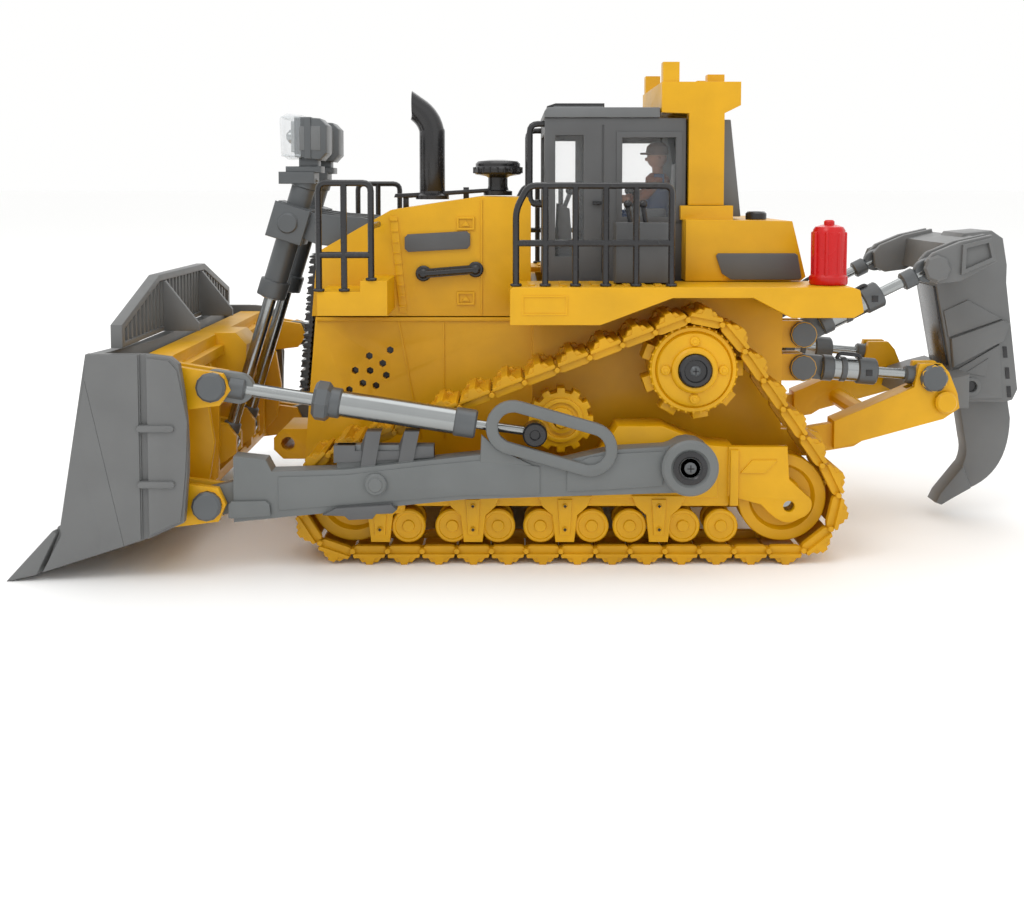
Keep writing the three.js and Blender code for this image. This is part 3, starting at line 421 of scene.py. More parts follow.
class Piece:
    """One visible object: shapes gathered with their materials, then set riding on a body."""

    def __init__(self, name, finish, body="machine"):
        self.name, self.body, self.finish = name, body, finish
        # Blender numbers a finish whose name the frame's own materials have taken; the slot has no number
        self.slot = finish.name.split(".")[0]
        self.mesh, self.finishes = bmesh.new(), []

    def put(self, *shapes):
        """Adds shapes in the piece's main finish."""
        return self.add(self.finish, *shapes)

    def add(self, finish, *shapes):
        if finish not in self.finishes:
            self.finishes.append(finish)
        index = self.finishes.index(finish)
        for shape in shapes:
            if isinstance(shape, (list, tuple)):
                self.add(finish, *shape)
                continue
            first = len(self.mesh.faces)
            carrier = bpy.data.meshes.new("carrier")
            shape.to_mesh(carrier)
            self.mesh.from_mesh(carrier)
            bpy.data.meshes.remove(carrier)
            self.mesh.faces.ensure_lookup_table()
            for face in self.mesh.faces[first:]:
                face.material_index = index
        return self

    def paint(self, finish, chosen):
        """Gives another finish to the faces so far whose centre answers the test."""
        if finish not in self.finishes:
            self.finishes.append(finish)
        for face in self.mesh.faces:
            if chosen(face.calc_center_median()):
                face.material_index = self.finishes.index(finish)

    def screws(self, finish, places, y, out=-1, radius=1.7):
        for place in places:
            head, cross = screw(place, y, out, radius)
            self.add(finish, head)
            # black cross on each head: painted shade for its recess
            self.add(BLACK, cross)

    def place(self, *nodes, mirror=False):
        label = f"{self.name}_look"
        mesh = bpy.data.meshes.new(label)
        made = self.mesh.copy()
        if mirror:
            made.transform(Matrix.Scale(-1, 4, (0, 1, 0)))
            bmesh.ops.reverse_faces(made, faces=made.faces)
        made.transform(Matrix.Scale(MM, 4))
        made.to_mesh(mesh)
        made.free()
        for finish in self.finishes:
            mesh.materials.append(finish)
        mesh.polygons.foreach_set("use_smooth", [True] * len(mesh.polygons))
        mesh.set_sharp_from_angle(angle=radians(30))
        piece = bpy.data.objects.new(label, mesh)
        bpy.context.scene.collection.objects.link(piece)
        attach(piece, self.body)
        if nodes:
            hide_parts(*nodes)
        return piece


def pair(make, node):
    """Builds a piece for the left side and its mirror image for the right."""
    for side in SIDES:
        made = make(side)
        made.name = f"{made.name}_{side}"
        made.place(f"{node}_{side}", mirror=side == "right")


# ---- crawler belts
def belt_frames():
    """Place and heading of each shoe along the pitch line, round both idlers and the sprocket."""
    centres = [Vector(c) for c in (FRONT_IDLER, REAR_IDLER, SPROCKET)]
    runs = [(a, centres[(i + 1) % 3]) for i, a in enumerate(centres)]
    spans = []
    for i, (a, b) in enumerate(runs):
        heading = (b - a).normalized()
        following = (runs[(i + 1) % 3][1] - b).normalized()
        turn = acos(max(-1, min(1, heading.dot(following))))
        spans.append((a, b, heading, (b - a).length, turn))
    total = sum(s[3] for s in spans) + 2 * pi * BELT_PITCH_LINE
    for shoe in range(SHOES):
        left = (shoe + 0.5) * total / SHOES
        for a, b, heading, length, turn in spans:
            out = atan2(-heading.x, heading.y)
            if left <= length:
                yield a + heading * left, out
                break
            left -= length
            if left <= turn * BELT_PITCH_LINE:
                yield b, out + left / BELT_PITCH_LINE
                break
            left -= turn * BELT_PITCH_LINE


def shoe_shapes():
    """One shoe lying flat: x along the belt, z outwards from the wheel centre."""
    shoe = plate([(-6.1, 19.9), (5.9, 19.9), (6.4, 20.6), (6, 21.5), (2.2, 21.5), (1.3, SHOE_TIP),
        (-1.1, SHOE_TIP), (-2.2, 21.5), (-5.6, 21.3)], -69.6, -44.4, 0.3)
    lugs = [plate([(-4.8, 21), (4.6, 21), (3, 23.2), (-3, 23.2)],
        y - 1.9, y + 1.9, 0.35) for y in (-67.2, -46.8)]
    links = [plate(capsule((-4.6, 18.9), (4.6, 18.9), 1.8, 6),
        y - 1.5, y + 1.5, 0.3) for y in (-66.8, -47.2)]
    pins = [disc((6.4, 18.9), 1.1, y - 2.6, y + 2.6, 0.25, 12) for y in (-67, -47)]
    return [shoe, *lugs, *links, *pins]


def track(side):
    """Belt of linked shoes."""
    made = Piece("crawler_belt", BELT)
    for place, out in belt_frames():
        turn = Matrix.Translation((place[0], 0, place[1])) @ Matrix.Rotation(pi / 2 - out, 4, "Y")
        for shape in shoe_shapes():
            shape.transform(turn)
            made.put(shape)
    return made


# ---- wheels and roller frame
def gear_outline(place, root, tip, teeth, wide=0.22):
    """Outline of a toothed wheel."""
    points = []
    for tooth in range(teeth):
        for share, radius in ((-wide - 0.06, root), (-wide, tip), (wide, tip), (wide + 0.06, root)):
            points.append(around(place, radius, 2 * pi * (tooth + share) / teeth))
    return points


def sprocket(side):
    """Toothed ring behind a flat hub face with a fluted rim, four bolt bosses and a dark cap."""
    made = Piece("drive_sprocket", YELLOW, f"sprocket_{side}")
    x, z = SPROCKET
    made.put(plate(gear_outline(SPROCKET, 15.4, 19.7, 9), -62, -52, 0.3, [circle(SPROCKET, 5)]))
    made.put(lathe([(5, 0), (16.4, 0), (16.6, 0.5), (16.6, 15), (16, 15.8), (14.8, 15.8), (14.4, 15.2),
        (13.8, 16.6), (12.4, 17.2), (9, 17.2), (8.6, 18.4), (7.8, 19), (6.6, 19), (6.2, 18), (5, 18)],
        (x, -50, z), (x, -51, z), 56))
    for i in range(36):
        made.put(disc(around(SPROCKET, 16.4, pi * i / 18), 0.6, -65.5, -60, 0.2, 8))
    for i in range(4):
        at = around(SPROCKET, 11, pi / 2 * i)
        made.put(disc(at, 1.9, -68.4, -66, 0.4, 20), disc(at, 0.9, -68.8, -68, 0.2, 12))
    made.add(BLACK, lathe([(6.2, 0), (6.2, 2), (5.6, 2.6), (4.4, 2.6), (4, 1.6), (0, 1.6)], (x, -68, z),
        (x, -69, z), 36))
    made.screws(GUN, [SPROCKET], -69.4, radius=2)
    return made


def idler(which):
    """Wheel with a raised rim and a recessed web."""
    place = FRONT_IDLER if which == "front_idler" else REAR_IDLER
    x, z = place

    def make(side):
        made = Piece(which, YELLOW, f"{which}_{side}")
        half = [(3.6, 3.4), (7, 5), (7.4, 4.6), (8, 2.6), (11.6, 2.6), (12, 3.4), (12.8, 4.8), (16.6, 4.8),
            (17, 4.4)]
        profile = [*half, *[(radius, -reach) for radius, reach in reversed(half)], half[0]]
        made.put(ring_lathe(profile, (x, -57, z), 56))
        return made
    return make


def carrier(side):
    """Toothed wheel under the upper run of the belt."""
    made = Piece("carrier_wheel", YELLOW, f"carrier_{side}")
    made.put(plate(gear_outline(CARRIER, 10.7, 12.5, 12), -61.2, -52.8, 0.3, [circle(CARRIER, 3)]))
    made.put(ring(CARRIER, 8.6, 6.8, -62.2, -60.8), ring(CARRIER, 5, 3, -62.6, -60.8))
    return made


def roller_frame(side):
    """Beam that carries the lower rollers, the idler forks and the push arm's trunnion."""
    made = Piece("roller_frame", YELLOW)
    beam = [(-58, 24), (-52, 21.4), (66, 21.4), (68, 24), (68, 44.4), (59, 45), (41, 52.4), (24, 52.4),
        (17, 41), (8, 38.6), (-49, 36.6), (-57, 32.4)]
    made.put(plate(beam, -65.4, -50.4, 0.6))
    made.put(plate([(-50, 25), (62, 25), (62, 33), (-46, 30.4)], -66.2, -65, 0.3))
    made.put(plate([(66, 25.6), (78.7, 22.2), *bend((78.7, 22.2), (86, 13.4), (91.3, 15.6), 5),
        *bend((95.6, 17.6), (99.4, 20.6), (97.7, 24.4), 5), (89.4, 32), (88.6, 44.6), (66, 44.6)],
        -66.2, -62.8, 0.5, [circle((89.4, 21.5), 2.1, 20)]))
    made.put(plate([(70.5, 34.5), (75, 39.6), (84.6, 39.6), (80, 34.5)], -66.9, -66, 0.3),
        block(66.6, 69.8, -67.4, -65.4, 22, 43.6, 0.4))
    made.put(plate([(-57, 33), (-73, 31.6), (-82, 26), (-82, 20.4), (-75, 17.4), (-57, 19)],
        -66, -62.8, 0.4))
    for fork_y in (-52, -50.2):
        made.put(plate([(66, 25.6), (79, 22), (90, 17), (94, 23), (88, 33), (66, 38)],
            fork_y - 0.8, fork_y, 0.2))
    for place in (FRONT_IDLER, REAR_IDLER):
        made.add(CHROME, disc(place, 3, -65.8, -50.4))
    for x in ROLLERS:
        made.put(lathe([(0, 0), (5.7, 0), (5.9, 0.4), (5.9, 2.2), (5.1, 2.8), (5.1, 11), (6.2, 11.6),
            (6.5, 12), (6.5, 13.4), (6, 14), (5.2, 14), (4.9, 13.5), (2.4, 13.5), (2.1, 14.2), (0, 14.2)],
            (x, -52, ROLLER_Z), (x, -53, ROLLER_Z), 40))
    for x in BOGIES:
        made.put(plate([(x - 10.4, 26), (x + 10.4, 26), (x + 8.4, 21.6), (x + 4.8, 18.4), (x + 3.6, 8),
            (x - 3.6, 8), (x - 4.8, 18.4), (x - 8.4, 21.6)], -67.3, -65.2, 0.5))
        made.put(plate([(x - 2, 11), (x + 2, 11), (x + 2.8, 24.8), (x - 2.8, 24.8)], -68.1, -66.9, 0.4))
        made.screws(YELLOW, [(x, 13.4), (x, 22.4)], -68, radius=1)
    for x, half in ((-30, 30), (35, 40)):
        made.put(block(x - 8, x + 8, -52, -half - 0.3, 24, 34))
    made.add(CHROME, disc(TRUNNION, 4, -83.4, -64))
    return made


# ---- chassis, hood and decks
def chassis():
    """Tub with its top lip, panel seams, a black sheet inside as painted shade, and cylinder pins."""
    made = Piece("chassis_tub", YELLOW)
    made.put(moulded("chassis", 0.3))
    for side in (-1, 1):
        face = side * TUB_FACE
        made.put(block(-44.4, -43.8, face, face + side * 0.5, 40, 88, 0.1))
        made.put(plate([(-96, 88.4), (-9, 88.4), (-9, 90), (-96, 90)], face - side, face + side * 0.9, 0.3))
        made.put(plate([(-62.9, 88.4), (-62.2, 88.4), (-53.4, 40), (-54.1, 40)],
            face, face + side * 0.5, 0.1))
        # black sheet inside the tub: painted shade on the inner side, which lies in shadow
        made.add(BLACK, block(-88, -63, side * 26.6, side * 27.8, 56, 80, 0.2))
        for base in (UPPER_BASE, LOWER_BASE):
            made.add(GUN, disc(base, 5.5, side * 38, side * 40.4, 0.7, 12))
    return made


def on_nose(at):
    """Whether a place is on the hood's dark nose or one of its ribs."""
    in_front = abs(at.y) < 26.4 and at.x < -68.5 and at.z > 118
    above = at.x < -98.5 or at.z > 135.6 + 0.567 * (at.x + 65.4)
    return in_front and (above or min(abs(abs(at.y) - k) for k in (26, 23.6, 10.4, 8)) < 0.5)


def hood():
    """Hood with its dark nose, service ladder, panels, grab handle and top rail."""
    made = Piece("engine_hood", YELLOW)
    made.put(moulded("hood", 0.45))
    made.paint(BLACK, lambda at: abs(at.y) > 30.3 and -54.5 < at.x < -28.9 and 105.5 < at.z < 112.2)
    made.paint(GUN, on_nose)
    for side in (-1, 1):
        y = side * TUB_FACE
        # service ladder pressed into the panel
        for i in range(9):
            z = 94 + 4.4 * i
            x = -62 - 0.1 * (z - 92)
            made.put(block(x, x + 3, y, y + side * 1.3, z, z + 0.9, 0.25))
        for x, z in ((-38.7, 125.6), (-38.7, 95)):
            made.put(plate([(x, z), (x + 7.3, z), (x + 7.3, z + 5.4), (x, z + 5.4)],
                y, y + side * 0.9, 0.3, [[(x + 0.9, z + 0.9), (x + 0.9, z + 4.5), (x + 6.4, z + 4.5),
                (x + 6.4, z + 0.9)]]))
            made.put(plate([(x + 2, z + 1.6), (x + 5.4, z + 1.6), (x + 3.7, z + 3.8)],
                y, y + side * 0.8, 0.2))
        made.put(block(-28.9, -28.3, y, y + side * 0.7, 91, 138, 0.15))
        made.add(DARK, plate([(-59.8, 118), (-58.4, 116.7), (-34.4, 118), (-33.2, 119.4), (-33.2, 124),
            (-34.6, 125.2), (-58.6, 123.9), (-59.8, 122.6)], y + side * 0.4, y + side * 1.4, 0.35))
        made.add(BLACK, tube([(-52.2, y + side * 3.4, 108), (-31, y + side * 3.4, 109.6)], 1.35))
        for place in ((-52.2, 108), (-31, 109.6)):
            made.add(BLACK, disc(place, 3.2, y, y + side * 2.4, 0.5, 28),
                disc(place, 2, y, y + side * 4.6, 0.8, 24))
    made.add(BLACK, plate([(-67, 138.6), (-60, 138.4), (-21, 141.2), (-21, 142.8), (-58, 140.6),
        (-66.4, 140.2)], -2.8, 2.8, 0.35))
    for x, z in ((-62, 134), (-36, 138)):
        made.add(BLACK, block(x - 1.2, x + 1.2, -1.2, 1.2, z, z + 5, 0.3))
    return made


def grille():
    """Grille with its cross ribs."""
    made = Piece("radiator_grille", BLACK)
    low, high = node_box("radiator_grille")
    made.put(moulded("radiator_grille", 0.15))
    for i in range(GRILLE_RIBS):
        share = (i + 0.5) / GRILLE_RIBS
        x, z = low.x + 0.4 + 5.2 * share, low.z + (high.z - low.z) * share
        made.put(plate([(x - 0.7, z - 0.3), (x - 0.7, z + 0.3), (x + 3, z + 0.8), (x + 3, z - 0.8)],
            low.y - 0.2, high.y + 0.2, 0.12))
    return made


def open_bend(path, outer_radius, inner_radius, mouth, steps=36):
    """Swept pipe wall along a path in the side view, cut off flat and open at its far end."""
    shell = bmesh.new()
    loops = []
    last = len(path) - 1
    for radius in (outer_radius, inner_radius):
        for i, (x, z) in enumerate(path):
            before, after = path[max(0, i - 1)], path[min(last, i + 1)]
            heading = Vector((after[0] - before[0], 0, after[1] - before[1])).normalized()
            if i == 0:
                heading = Vector((0, 0, 1))
            across = Vector((0, 0, mouth)) if i == last else Vector((-heading.z, 0, heading.x)) * -1
            loops.append([shell.verts.new(Vector((x, 0, z)) + across * (radius * cos(t)) + Vector((0, 1,
                0)) * (radius * sin(t))) for t in (2 * pi * k / steps for k in range(steps))])
    outer, inner = loops[:last + 1], loops[last + 1:]
    chain = [*outer, *reversed(inner)]
    for a, b in zip(chain, chain[1:]):
        for k in range(steps):
            j = (k + 1) % steps
            shell.faces.new((a[k], a[j], b[j], b[k]))
    shell.faces.new(outer[0])
    shell.faces.new(inner[0])
    bmesh.ops.recalc_face_normals(shell, faces=shell.faces)
    return shell


def exhaust():
    """Foot, straight pipe and a bend with an open mouth."""
    made = Piece("exhaust_stack", BLACK)
    x = EXHAUST_X
    made.put(lathe([(0, 0), (7.2, 0), (7.2, 1.6), (6.4, 2.2), (5.6, 2.6), (5.3, 5)], (x, 0, 137.8),
        (x, 0, 140), 48))
    made.put(lathe([(5.3, 0), (5.5, 0.4), (5.5, 26), (5.3, 27)], (x, 0, 141), (x, 0, 143), 48))
    path = [*bend((x, 166), (-51.2, 172), (-56.2, 175.9), 7), (-59.1, 178.6)]
    made.put(open_bend(path, 5.3, 4.4, 1.08))
    return made


def precleaner():
    """Mushroom cap with its ring of vents."""
    made = Piece("air_precleaner", BLACK)
    made.put(lathe([(0, 0), (6.2, 0), (6.2, 1.8), (4.6, 2.4), (4.2, 4), (4.2, 7.6), (5.2, 8.2), (9.8, 9),
        (10.4, 9.8), (10.4, 11.4), (9.6, 12.4), (9.6, 13.6), (8.6, 14.6), (4, 15.2), (0, 15.3)],
        (PRECLEANER_X, 0, 139.5), (PRECLEANER_X, 0, 141), 48))
    for i in range(20):
        x, y = around((PRECLEANER_X, 0), 10.3, 2 * pi * i / 20)
        made.put(rod((x, y, 149), (x, y, 151.6), 0.45, 0.1, 8))
    return made


def fender(side):
    """Deck with a raised frame on its side and tread strips."""
    made = Piece("fender_deck", YELLOW)
    made.put(moulded("fender_left", 0.5))
    made.put(plate([(-12.4, 95.2), (4.6, 95.2), (4.6, 102.6), (-12.4, 102.6)],
        -70.4, -69.6, 0.15, [[(-11.8, 95.8), (-11.8, 102), (4, 102), (4, 95.8)]]))
    for i in range(9):
        x = -10 + 6 * i
        made.put(block(x, x + 2.6, -64.6, -46, DECK_TOP, DECK_TOP + 0.5, 0.2))
    return made


def rear_body():
    """Rear body with its side windows and filler cap."""
    made = Piece("rear_body", YELLOW)
    made.put(moulded("rear_body", 0.6))
    for side in (-1, 1):
        y = side * REAR_FACE
        made.add(DARK, plate([(64.2, 116), (65, 117), (95.4, 117), (96.4, 116.2), (98, 107.4), (97.2, 106.6),
            (70.2, 106.6), (66.6, 109)], y, y + side * 1.1, 0.4))
    made.add(BLACK, lathe([(0, 0), (4.2, 0), (4.2, 2.4), (3.4, 3.2), (0, 3.3)], (83, -30, 130),
        (83, -30, 131), 32))
    return made


def rops():
    """Roll-over frame."""
    made = Piece("roll_over_frame", YELLOW)
    made.put(moulded("rops_frame", 0.9))
    return made


def rail(name, node, runs, feet):
    """Bent rails with a foot under each post."""
    def make(side):
        made = Piece(name, BLACK)
        for run in runs:
            made.put(tube(run, RAIL_TUBE, 3.2))
        for x, y, z in feet:
            made.put(rod((x, y, z), (x, y, z + 1.1), 2.2, 0.3, 20))
        return made
    pair(make, node)


def rails():
    """Deck rail and front rail, each on both sides."""
    y, foot, top, mid = -66, DECK_TOP, 143.6, 122
    posts = (-3.7, 7.7, 19.1, 30.5)
    rail("deck_rail", "deck_rail", [[(-14.7, y, foot), (-14.7, y, 134.5), (-10.1, y, top), (43.8, y, top),
        (43.8, y, foot)], [(-14.7, y, mid), (43.8, y, mid)], *[[(x, y, foot), (x, y, top)] for x in posts]],
        [(x, y, foot) for x in (-14.7, *posts, 43.8)])
    y, top, mid = -57, 144.6, 117
    rail("front_rail", "front_rail", [[(-90.4, y, 103), (-90.4, y, top), (-70.3, y, top), (-70.3, y, 107.2)],
        [(-90.4, y, mid), (-70.3, y, mid)], [(-80.7, y, 103), (-80.7, y, top)], [(-70.3, y, 128),
        (-70.3, -33, 128)]], [(-90.4, y, 103), (-80.7, y, 103), (-70.3, y, 107.2)])


def extinguisher():
    """Ribbed bottle on the deck."""
    made = Piece("fire_extinguisher", RED)
    profile = [(0, 0), (7, 0), (7.2, 0.6), (7.2, 3), (6.4, 3.8), (6.1, 5), (6.2, 19), (6, 20.8), (5.2, 22),
        (3, 22.7), (2, 22.9), (2, 24), (1.4, 24.6), (0, 24.7)]
    made.put(lathe(profile, (BOTTLE_X, BOTTLE_Y, 105.9), (BOTTLE_X, BOTTLE_Y, 107), 48))
    for i in range(8):
        x, y = around((BOTTLE_X, BOTTLE_Y), 6, pi * (i + 0.5) / 4)
        made.put(rod((x, y, 109), (x, y, 126), 0.75, 0.4, 12))
    return made


# ---- cab, seat and driver
def cab():
    """Cab with its door frame, grab tube, door handle and tool box."""
    made = Piece("cab_shell", DARK)
    made.put(moulded("cab_shell", 0.4))
    for side in (-1, 1):
        y = side * CAB_FACE
        made.put(plate([(26, 128.8), (52.4, 128.8), (52.4, 165.4), (26, 165.4)],
            y, y + side * 0.5, 0.2, [[(28.3, 131), (28.3, 163), (50, 163), (50, 131)]]))
        made.add(BLACK, tube([(-2, side * 29, 136), (-9, side * 29, 136), (-9, side * 29, 168.6),
            (-2, side * 29, 168.6)], 1.25, 3.4))
        made.add(BLACK, block(16.4, 20, y, y + side * 1.8, 136, 137.4, 0.3))
        # tool box with two levers beside the seat
        made.put(block(23.5, 45, side * 46, side * 58, 106.2, 129.4, 0.8))
        made.put(block(22.9, 45.6, side * 45.4, side * 58.6, 120.6, 121.8, 0.4))
        for x in (30, 36):
            made.add(BLACK, rod((x, side * 50, 128), (x - 1.2, side * 50, 136), 0.9, 0.2, 12),
                ball((x - 1.2, side * 50, 136.4), 1.6))
    made.paint(ROOF, lambda at: at.x > 57)
    return made


def roof():
    """Roof with its air-conditioner plate."""
    made = Piece("cab_roof", ROOF)
    made.put(moulded("cab_roof", 0.5))
    made.add(BLACK, plate([(-1.6, 175.6), (22.4, 175.6), (22.4, 178), (2, 178), (-1.6, 176.8)],
        -15, 15, 0.4))
    return made


def driver():
    """Seated figure with a plain face: overalls, shirt and a peaked cap."""
    made = Piece("driver_figure", DENIM)
    made.put(rod((45.4, 0, 128), (46.8, 0, 143), 5.6, 1.6, 24))
    made.put(block(38, 49.4, -6.4, 6.4, 127.4, 133.6, 1.6))
    made.add(SHIRT, rod((46.4, 0, 141), (46.8, 0, 149), 5.2, 2.0, 24))
    made.add(SKIN, rod((46.8, 0, 148), (46.5, 0, 152), 2.3, 0.3, 20), ball((46.3, 0, 155.4), 4.3),
        ball((41.9, 0, 155), 0.8, 12))
    for side in (-1, 1):
        made.add(SHIRT, tube([(46.6, side * 5, 146), (40, side * 8, 139), (34, side * 7.6, 137.9)], 2, 2))
        made.add(SKIN, ball((32.6, side * 7.6, 137.8), 1.9, 16), ball((46.6, side * 4.3, 155.2), 0.9, 12))
        made.put(tube([(42, side * 3.8, 130.6), (27, side * 4, 130.6), (25, side * 4, 114)], 2.7, 2.6))
        made.put(block(44.6, 49, side * 3.4, side * 5, 139, 148.8, 0.4))
        made.add(BLACK, block(19.6, 27, side * 2.2, side * 6.2, 110, 114, 0.9))
    made.add(CAP, lathe([(0, 0), (4.7, 0), (4.9, 1), (4.5, 3.6), (2.8, 5.2), (0, 5.6)], (46.4, 0, 156.8),
        (46.4, 0, 158), 28))
    made.add(CAP, flat_plate(capsule((42.4, 0), (46, 0), 3.4), 157, 157.8, 0.2))
    return made


def seat():
    """Seat and console with lever knobs."""
    made = Piece("seat_and_console", DARK)
    made.put(moulded("seat_console", 0.7))
    for side in (-1, 1):
        made.add(BLACK, ball((35.4, side * 13, 141.4), 1.7))
    made.add(BLACK, ball((9, 0, 141.6), 2.0))
    return made


# ---- blade
def blade_shell():
    """Curved board; each end plate is two flat fields, a grooved rear panel and a front field bent inwards."""
    made = Piece("blade_shell", GREY, "blade")
    made.put(moulded("blade_shell", 0.4))
    crease_top, crease_foot = (-169.6, 73.4), (-156.6, 13.3)
    made.put(tube([(-180.4, -86, 18.6), (-172.8, -52, 18.6), (-172.8, 52, 18.6), (-180.4, 86, 18.6)],
        1.5, 1))
    for side in (-1, 1):
        face, skin = side * BLADE_FACE, side * 88.9
        made.put(plate([(-169.2, 82.9), (-150.4, 82.9), (-150.4, 15.6), crease_foot, crease_top],
            face - side * 3, skin, 0.3))
        corners = [(*crease_top, 88.9), (-180.2, 19.2, 86.4), (-186.4, 3.6, 86.2), (*crease_foot, 88.9)]
        wedge = bmesh.new()
        outer = [wedge.verts.new((x, side * y, z)) for x, z, y in corners]
        inner = [wedge.verts.new((x, side * 85, z)) for x, z, y in corners]
        wedge.faces.new(outer)
        wedge.faces.new(inner)
        for i in range(4):
            wedge.faces.new((outer[i], outer[(i + 1) % 4], inner[(i + 1) % 4], inner[i]))
        bmesh.ops.recalc_face_normals(wedge, faces=wedge.faces)
        made.put(wedge)
        made.put(plate([(-147.4, 81.8), (-139.4, 80.8), (-136.4, 77.4), *bend((-133, 59), (-133.4, 40),
            (-136, 22.4), 6), (-147.4, 17)], face - side, skin, 0.3))
        for z in (36, 56.4):
            made.put(plate(capsule((-149.8, z), (-138.8, z), 1.3, 10), face - side, side * 90.1, 0.7))
    return made


def cutting_edge():
    """Cutting edge with its row of bolts."""
    made = Piece("cutting_edge", GREY, "blade")
    made.put(moulded("cutting_edge", 0.25))
    for i in range(-5, 6):
        y = 15 * i
        shift = 8 * (1 - max(0, (abs(y) - 52) / 36))
        made.add(GUN, lathe([(0, 0), (1.7, 0), (1.7, 0.5), (0.9, 1.0), (0, 1.0)], (-191 + shift, y, 9.4),
            (-193.6 + shift, y, 12), 16))
    return made


def spill_guard():
    """Barred guard over the blade: a rim with a mitred top, upright bars and two stays."""
    made = Piece("spill_guard", GREY, "blade")
    low, high = node_box("spill_guard")
    rim = [(-80, low.z), (80, low.z), (80, 92.8), (34.5, high.z), (-34.5, high.z), (-80, 92.8)]
    gap = [(-76.6, low.z + 2), (-76.6, 91), (-33.8, high.z - 2.8), (33.8, high.z - 2.8), (76.6, 91),
        (76.6, low.z + 2)]
    made.put(cross_plate(rim, low.x, low.x + 4.4, 0.4, [gap]))
    for i in range(1, GUARD_BARS):
        y = -76.6 + 153.2 * i / GUARD_BARS
        top = min(high.z - 2, 91.6 + (80 - abs(y)) * 14.9 / 45.5 - 1.4)
        made.put(block(low.x + 0.5, low.x + 3.9, y - 0.95, y + 0.95, low.z + 1, top, 0.2))
    for y in (-28, 28):
        made.put(plate([(low.x + 3, high.z - 3), (low.x + 5, high.z - 3), (high.x, low.z + 3),
            (high.x, low.z), (low.x + 3, low.z)], y - 1.2, y + 1.2, 0.4))
    return made


def blade_back():
    """Casting behind the blade, with its pins and ribs."""
    made = Piece("blade_casting", YELLOW, "blade")
    made.put(moulded("blade_back", 0.4))
    for side in (-1, 1):
        for place in (LOWER_PIN, UPPER_PIN):
            made.add(GUN, disc(place, 5.5, side * 81.8, side * 85.4, 0.9, 12))
        made.put(plate([(-143, 18), (-132, 30), (-129.6, 46), (-132, 62), (-143, 78)],
            side * 62, side * 64.6, 0.4))
    return made


# ---- push arms, braces and lift cylinders
def push_arm(side):
    """Push arm with its slotted ring, side panels and trunnion cap."""
    made = Piece("push_arm", ARM, "push_frame")
    near = -ARM_Y
    made.put(moulded("push_arm_left", 0.4))
    made.paint(DARK, lambda at: -74 < at.x < -50 and at.z > 45.2)
    for corner in made.mesh.verts:
        if -74 < corner.co.x < -50 and corner.co.z > 44.6:
            corner.co.x += 0.42 * (corner.co.z - 48)
    line = ((-15.8, 55.4), (12.4, 47.3))
    made.put(plate(capsule(*line, 10, 16), near - 6.3, near - 3.4, 0.8, [capsule(*line, 5.6, 16)[::-1]]))
    made.put(plate([(-28, 42), (-27.4, 52.6), (-21.6, 47.4), (-8, 41)], near - 4.6, near - 3.2, 0.4))
    made.put(plate([(12, 44.2), (20.6, 45.4), (40, 46.4), (39, 33.6), (20, 32.2), (4, 31.6), (4, 40.4)],
        near - 4.7, near - 3.8, 0.3))
    made.put(plate([(-120.4, 21.4), (-120.4, 26.6), (-119.2, 27.9), (-106.6, 28.1), (-105.2, 26.8),
        (-104.8, 22.4)], near - 5.2, near - 3.8, 0.5))
    made.put(plate([(-102, 36.8), (-77.6, 37.6), (-47, 41.2), (-28, 43), (-6, 40.8), (-6, 30.2), (-34, 30),
        (-102, 24.4)], near - 4.5, near - 3.9, 0.25))
    x, z = TRUNNION
    made.put(lathe([(10.2, 0), (10.4, 0.6), (10.4, 2.6), (9.6, 3.4), (7.2, 3.4), (6.8, 2.6), (6.2, 2.4),
        (0, 2.4)], (x, near - 4, z), (x, near - 5, z), 48))
    made.add(BLACK, lathe([(6.2, 0), (6.2, 0.7), (4.4, 0.9), (3.8, 0.2), (0, 0.2)], (x, near - 6.2, z),
        (x, near - 7, z), 36))
    made.screws(GUN, [(x, z)], near - 6.4, radius=2.2)
    made.put(disc((-66.2, 34.3), 4.1, near - 6.4, near - 3.6, 0.6, 32))
    made.put(disc((-66.2, 34.3), 2.6, near - 6.9, near - 6, 0.3, 32))
    made.add(DARK, plate([(-82, 41.4), (-45, 43.4), (-45, 47.8), (-52, 47.8), (-52, 46), (-74, 46),
        (-74, 48), (-82, 48)], near - 2.2, near + 2.8, 0.4))
    made.add(DARK, plate([(-85.8, 23), (-80.6, 25.6), (-60.4, 27), (-58.4, 25), (-60, 23.6), (-66, 23.4),
        (-67.4, 21.6), (-76, 21.2), (-77.6, 22.6)], near - 6.2, near + 2, 0.5))
    return made


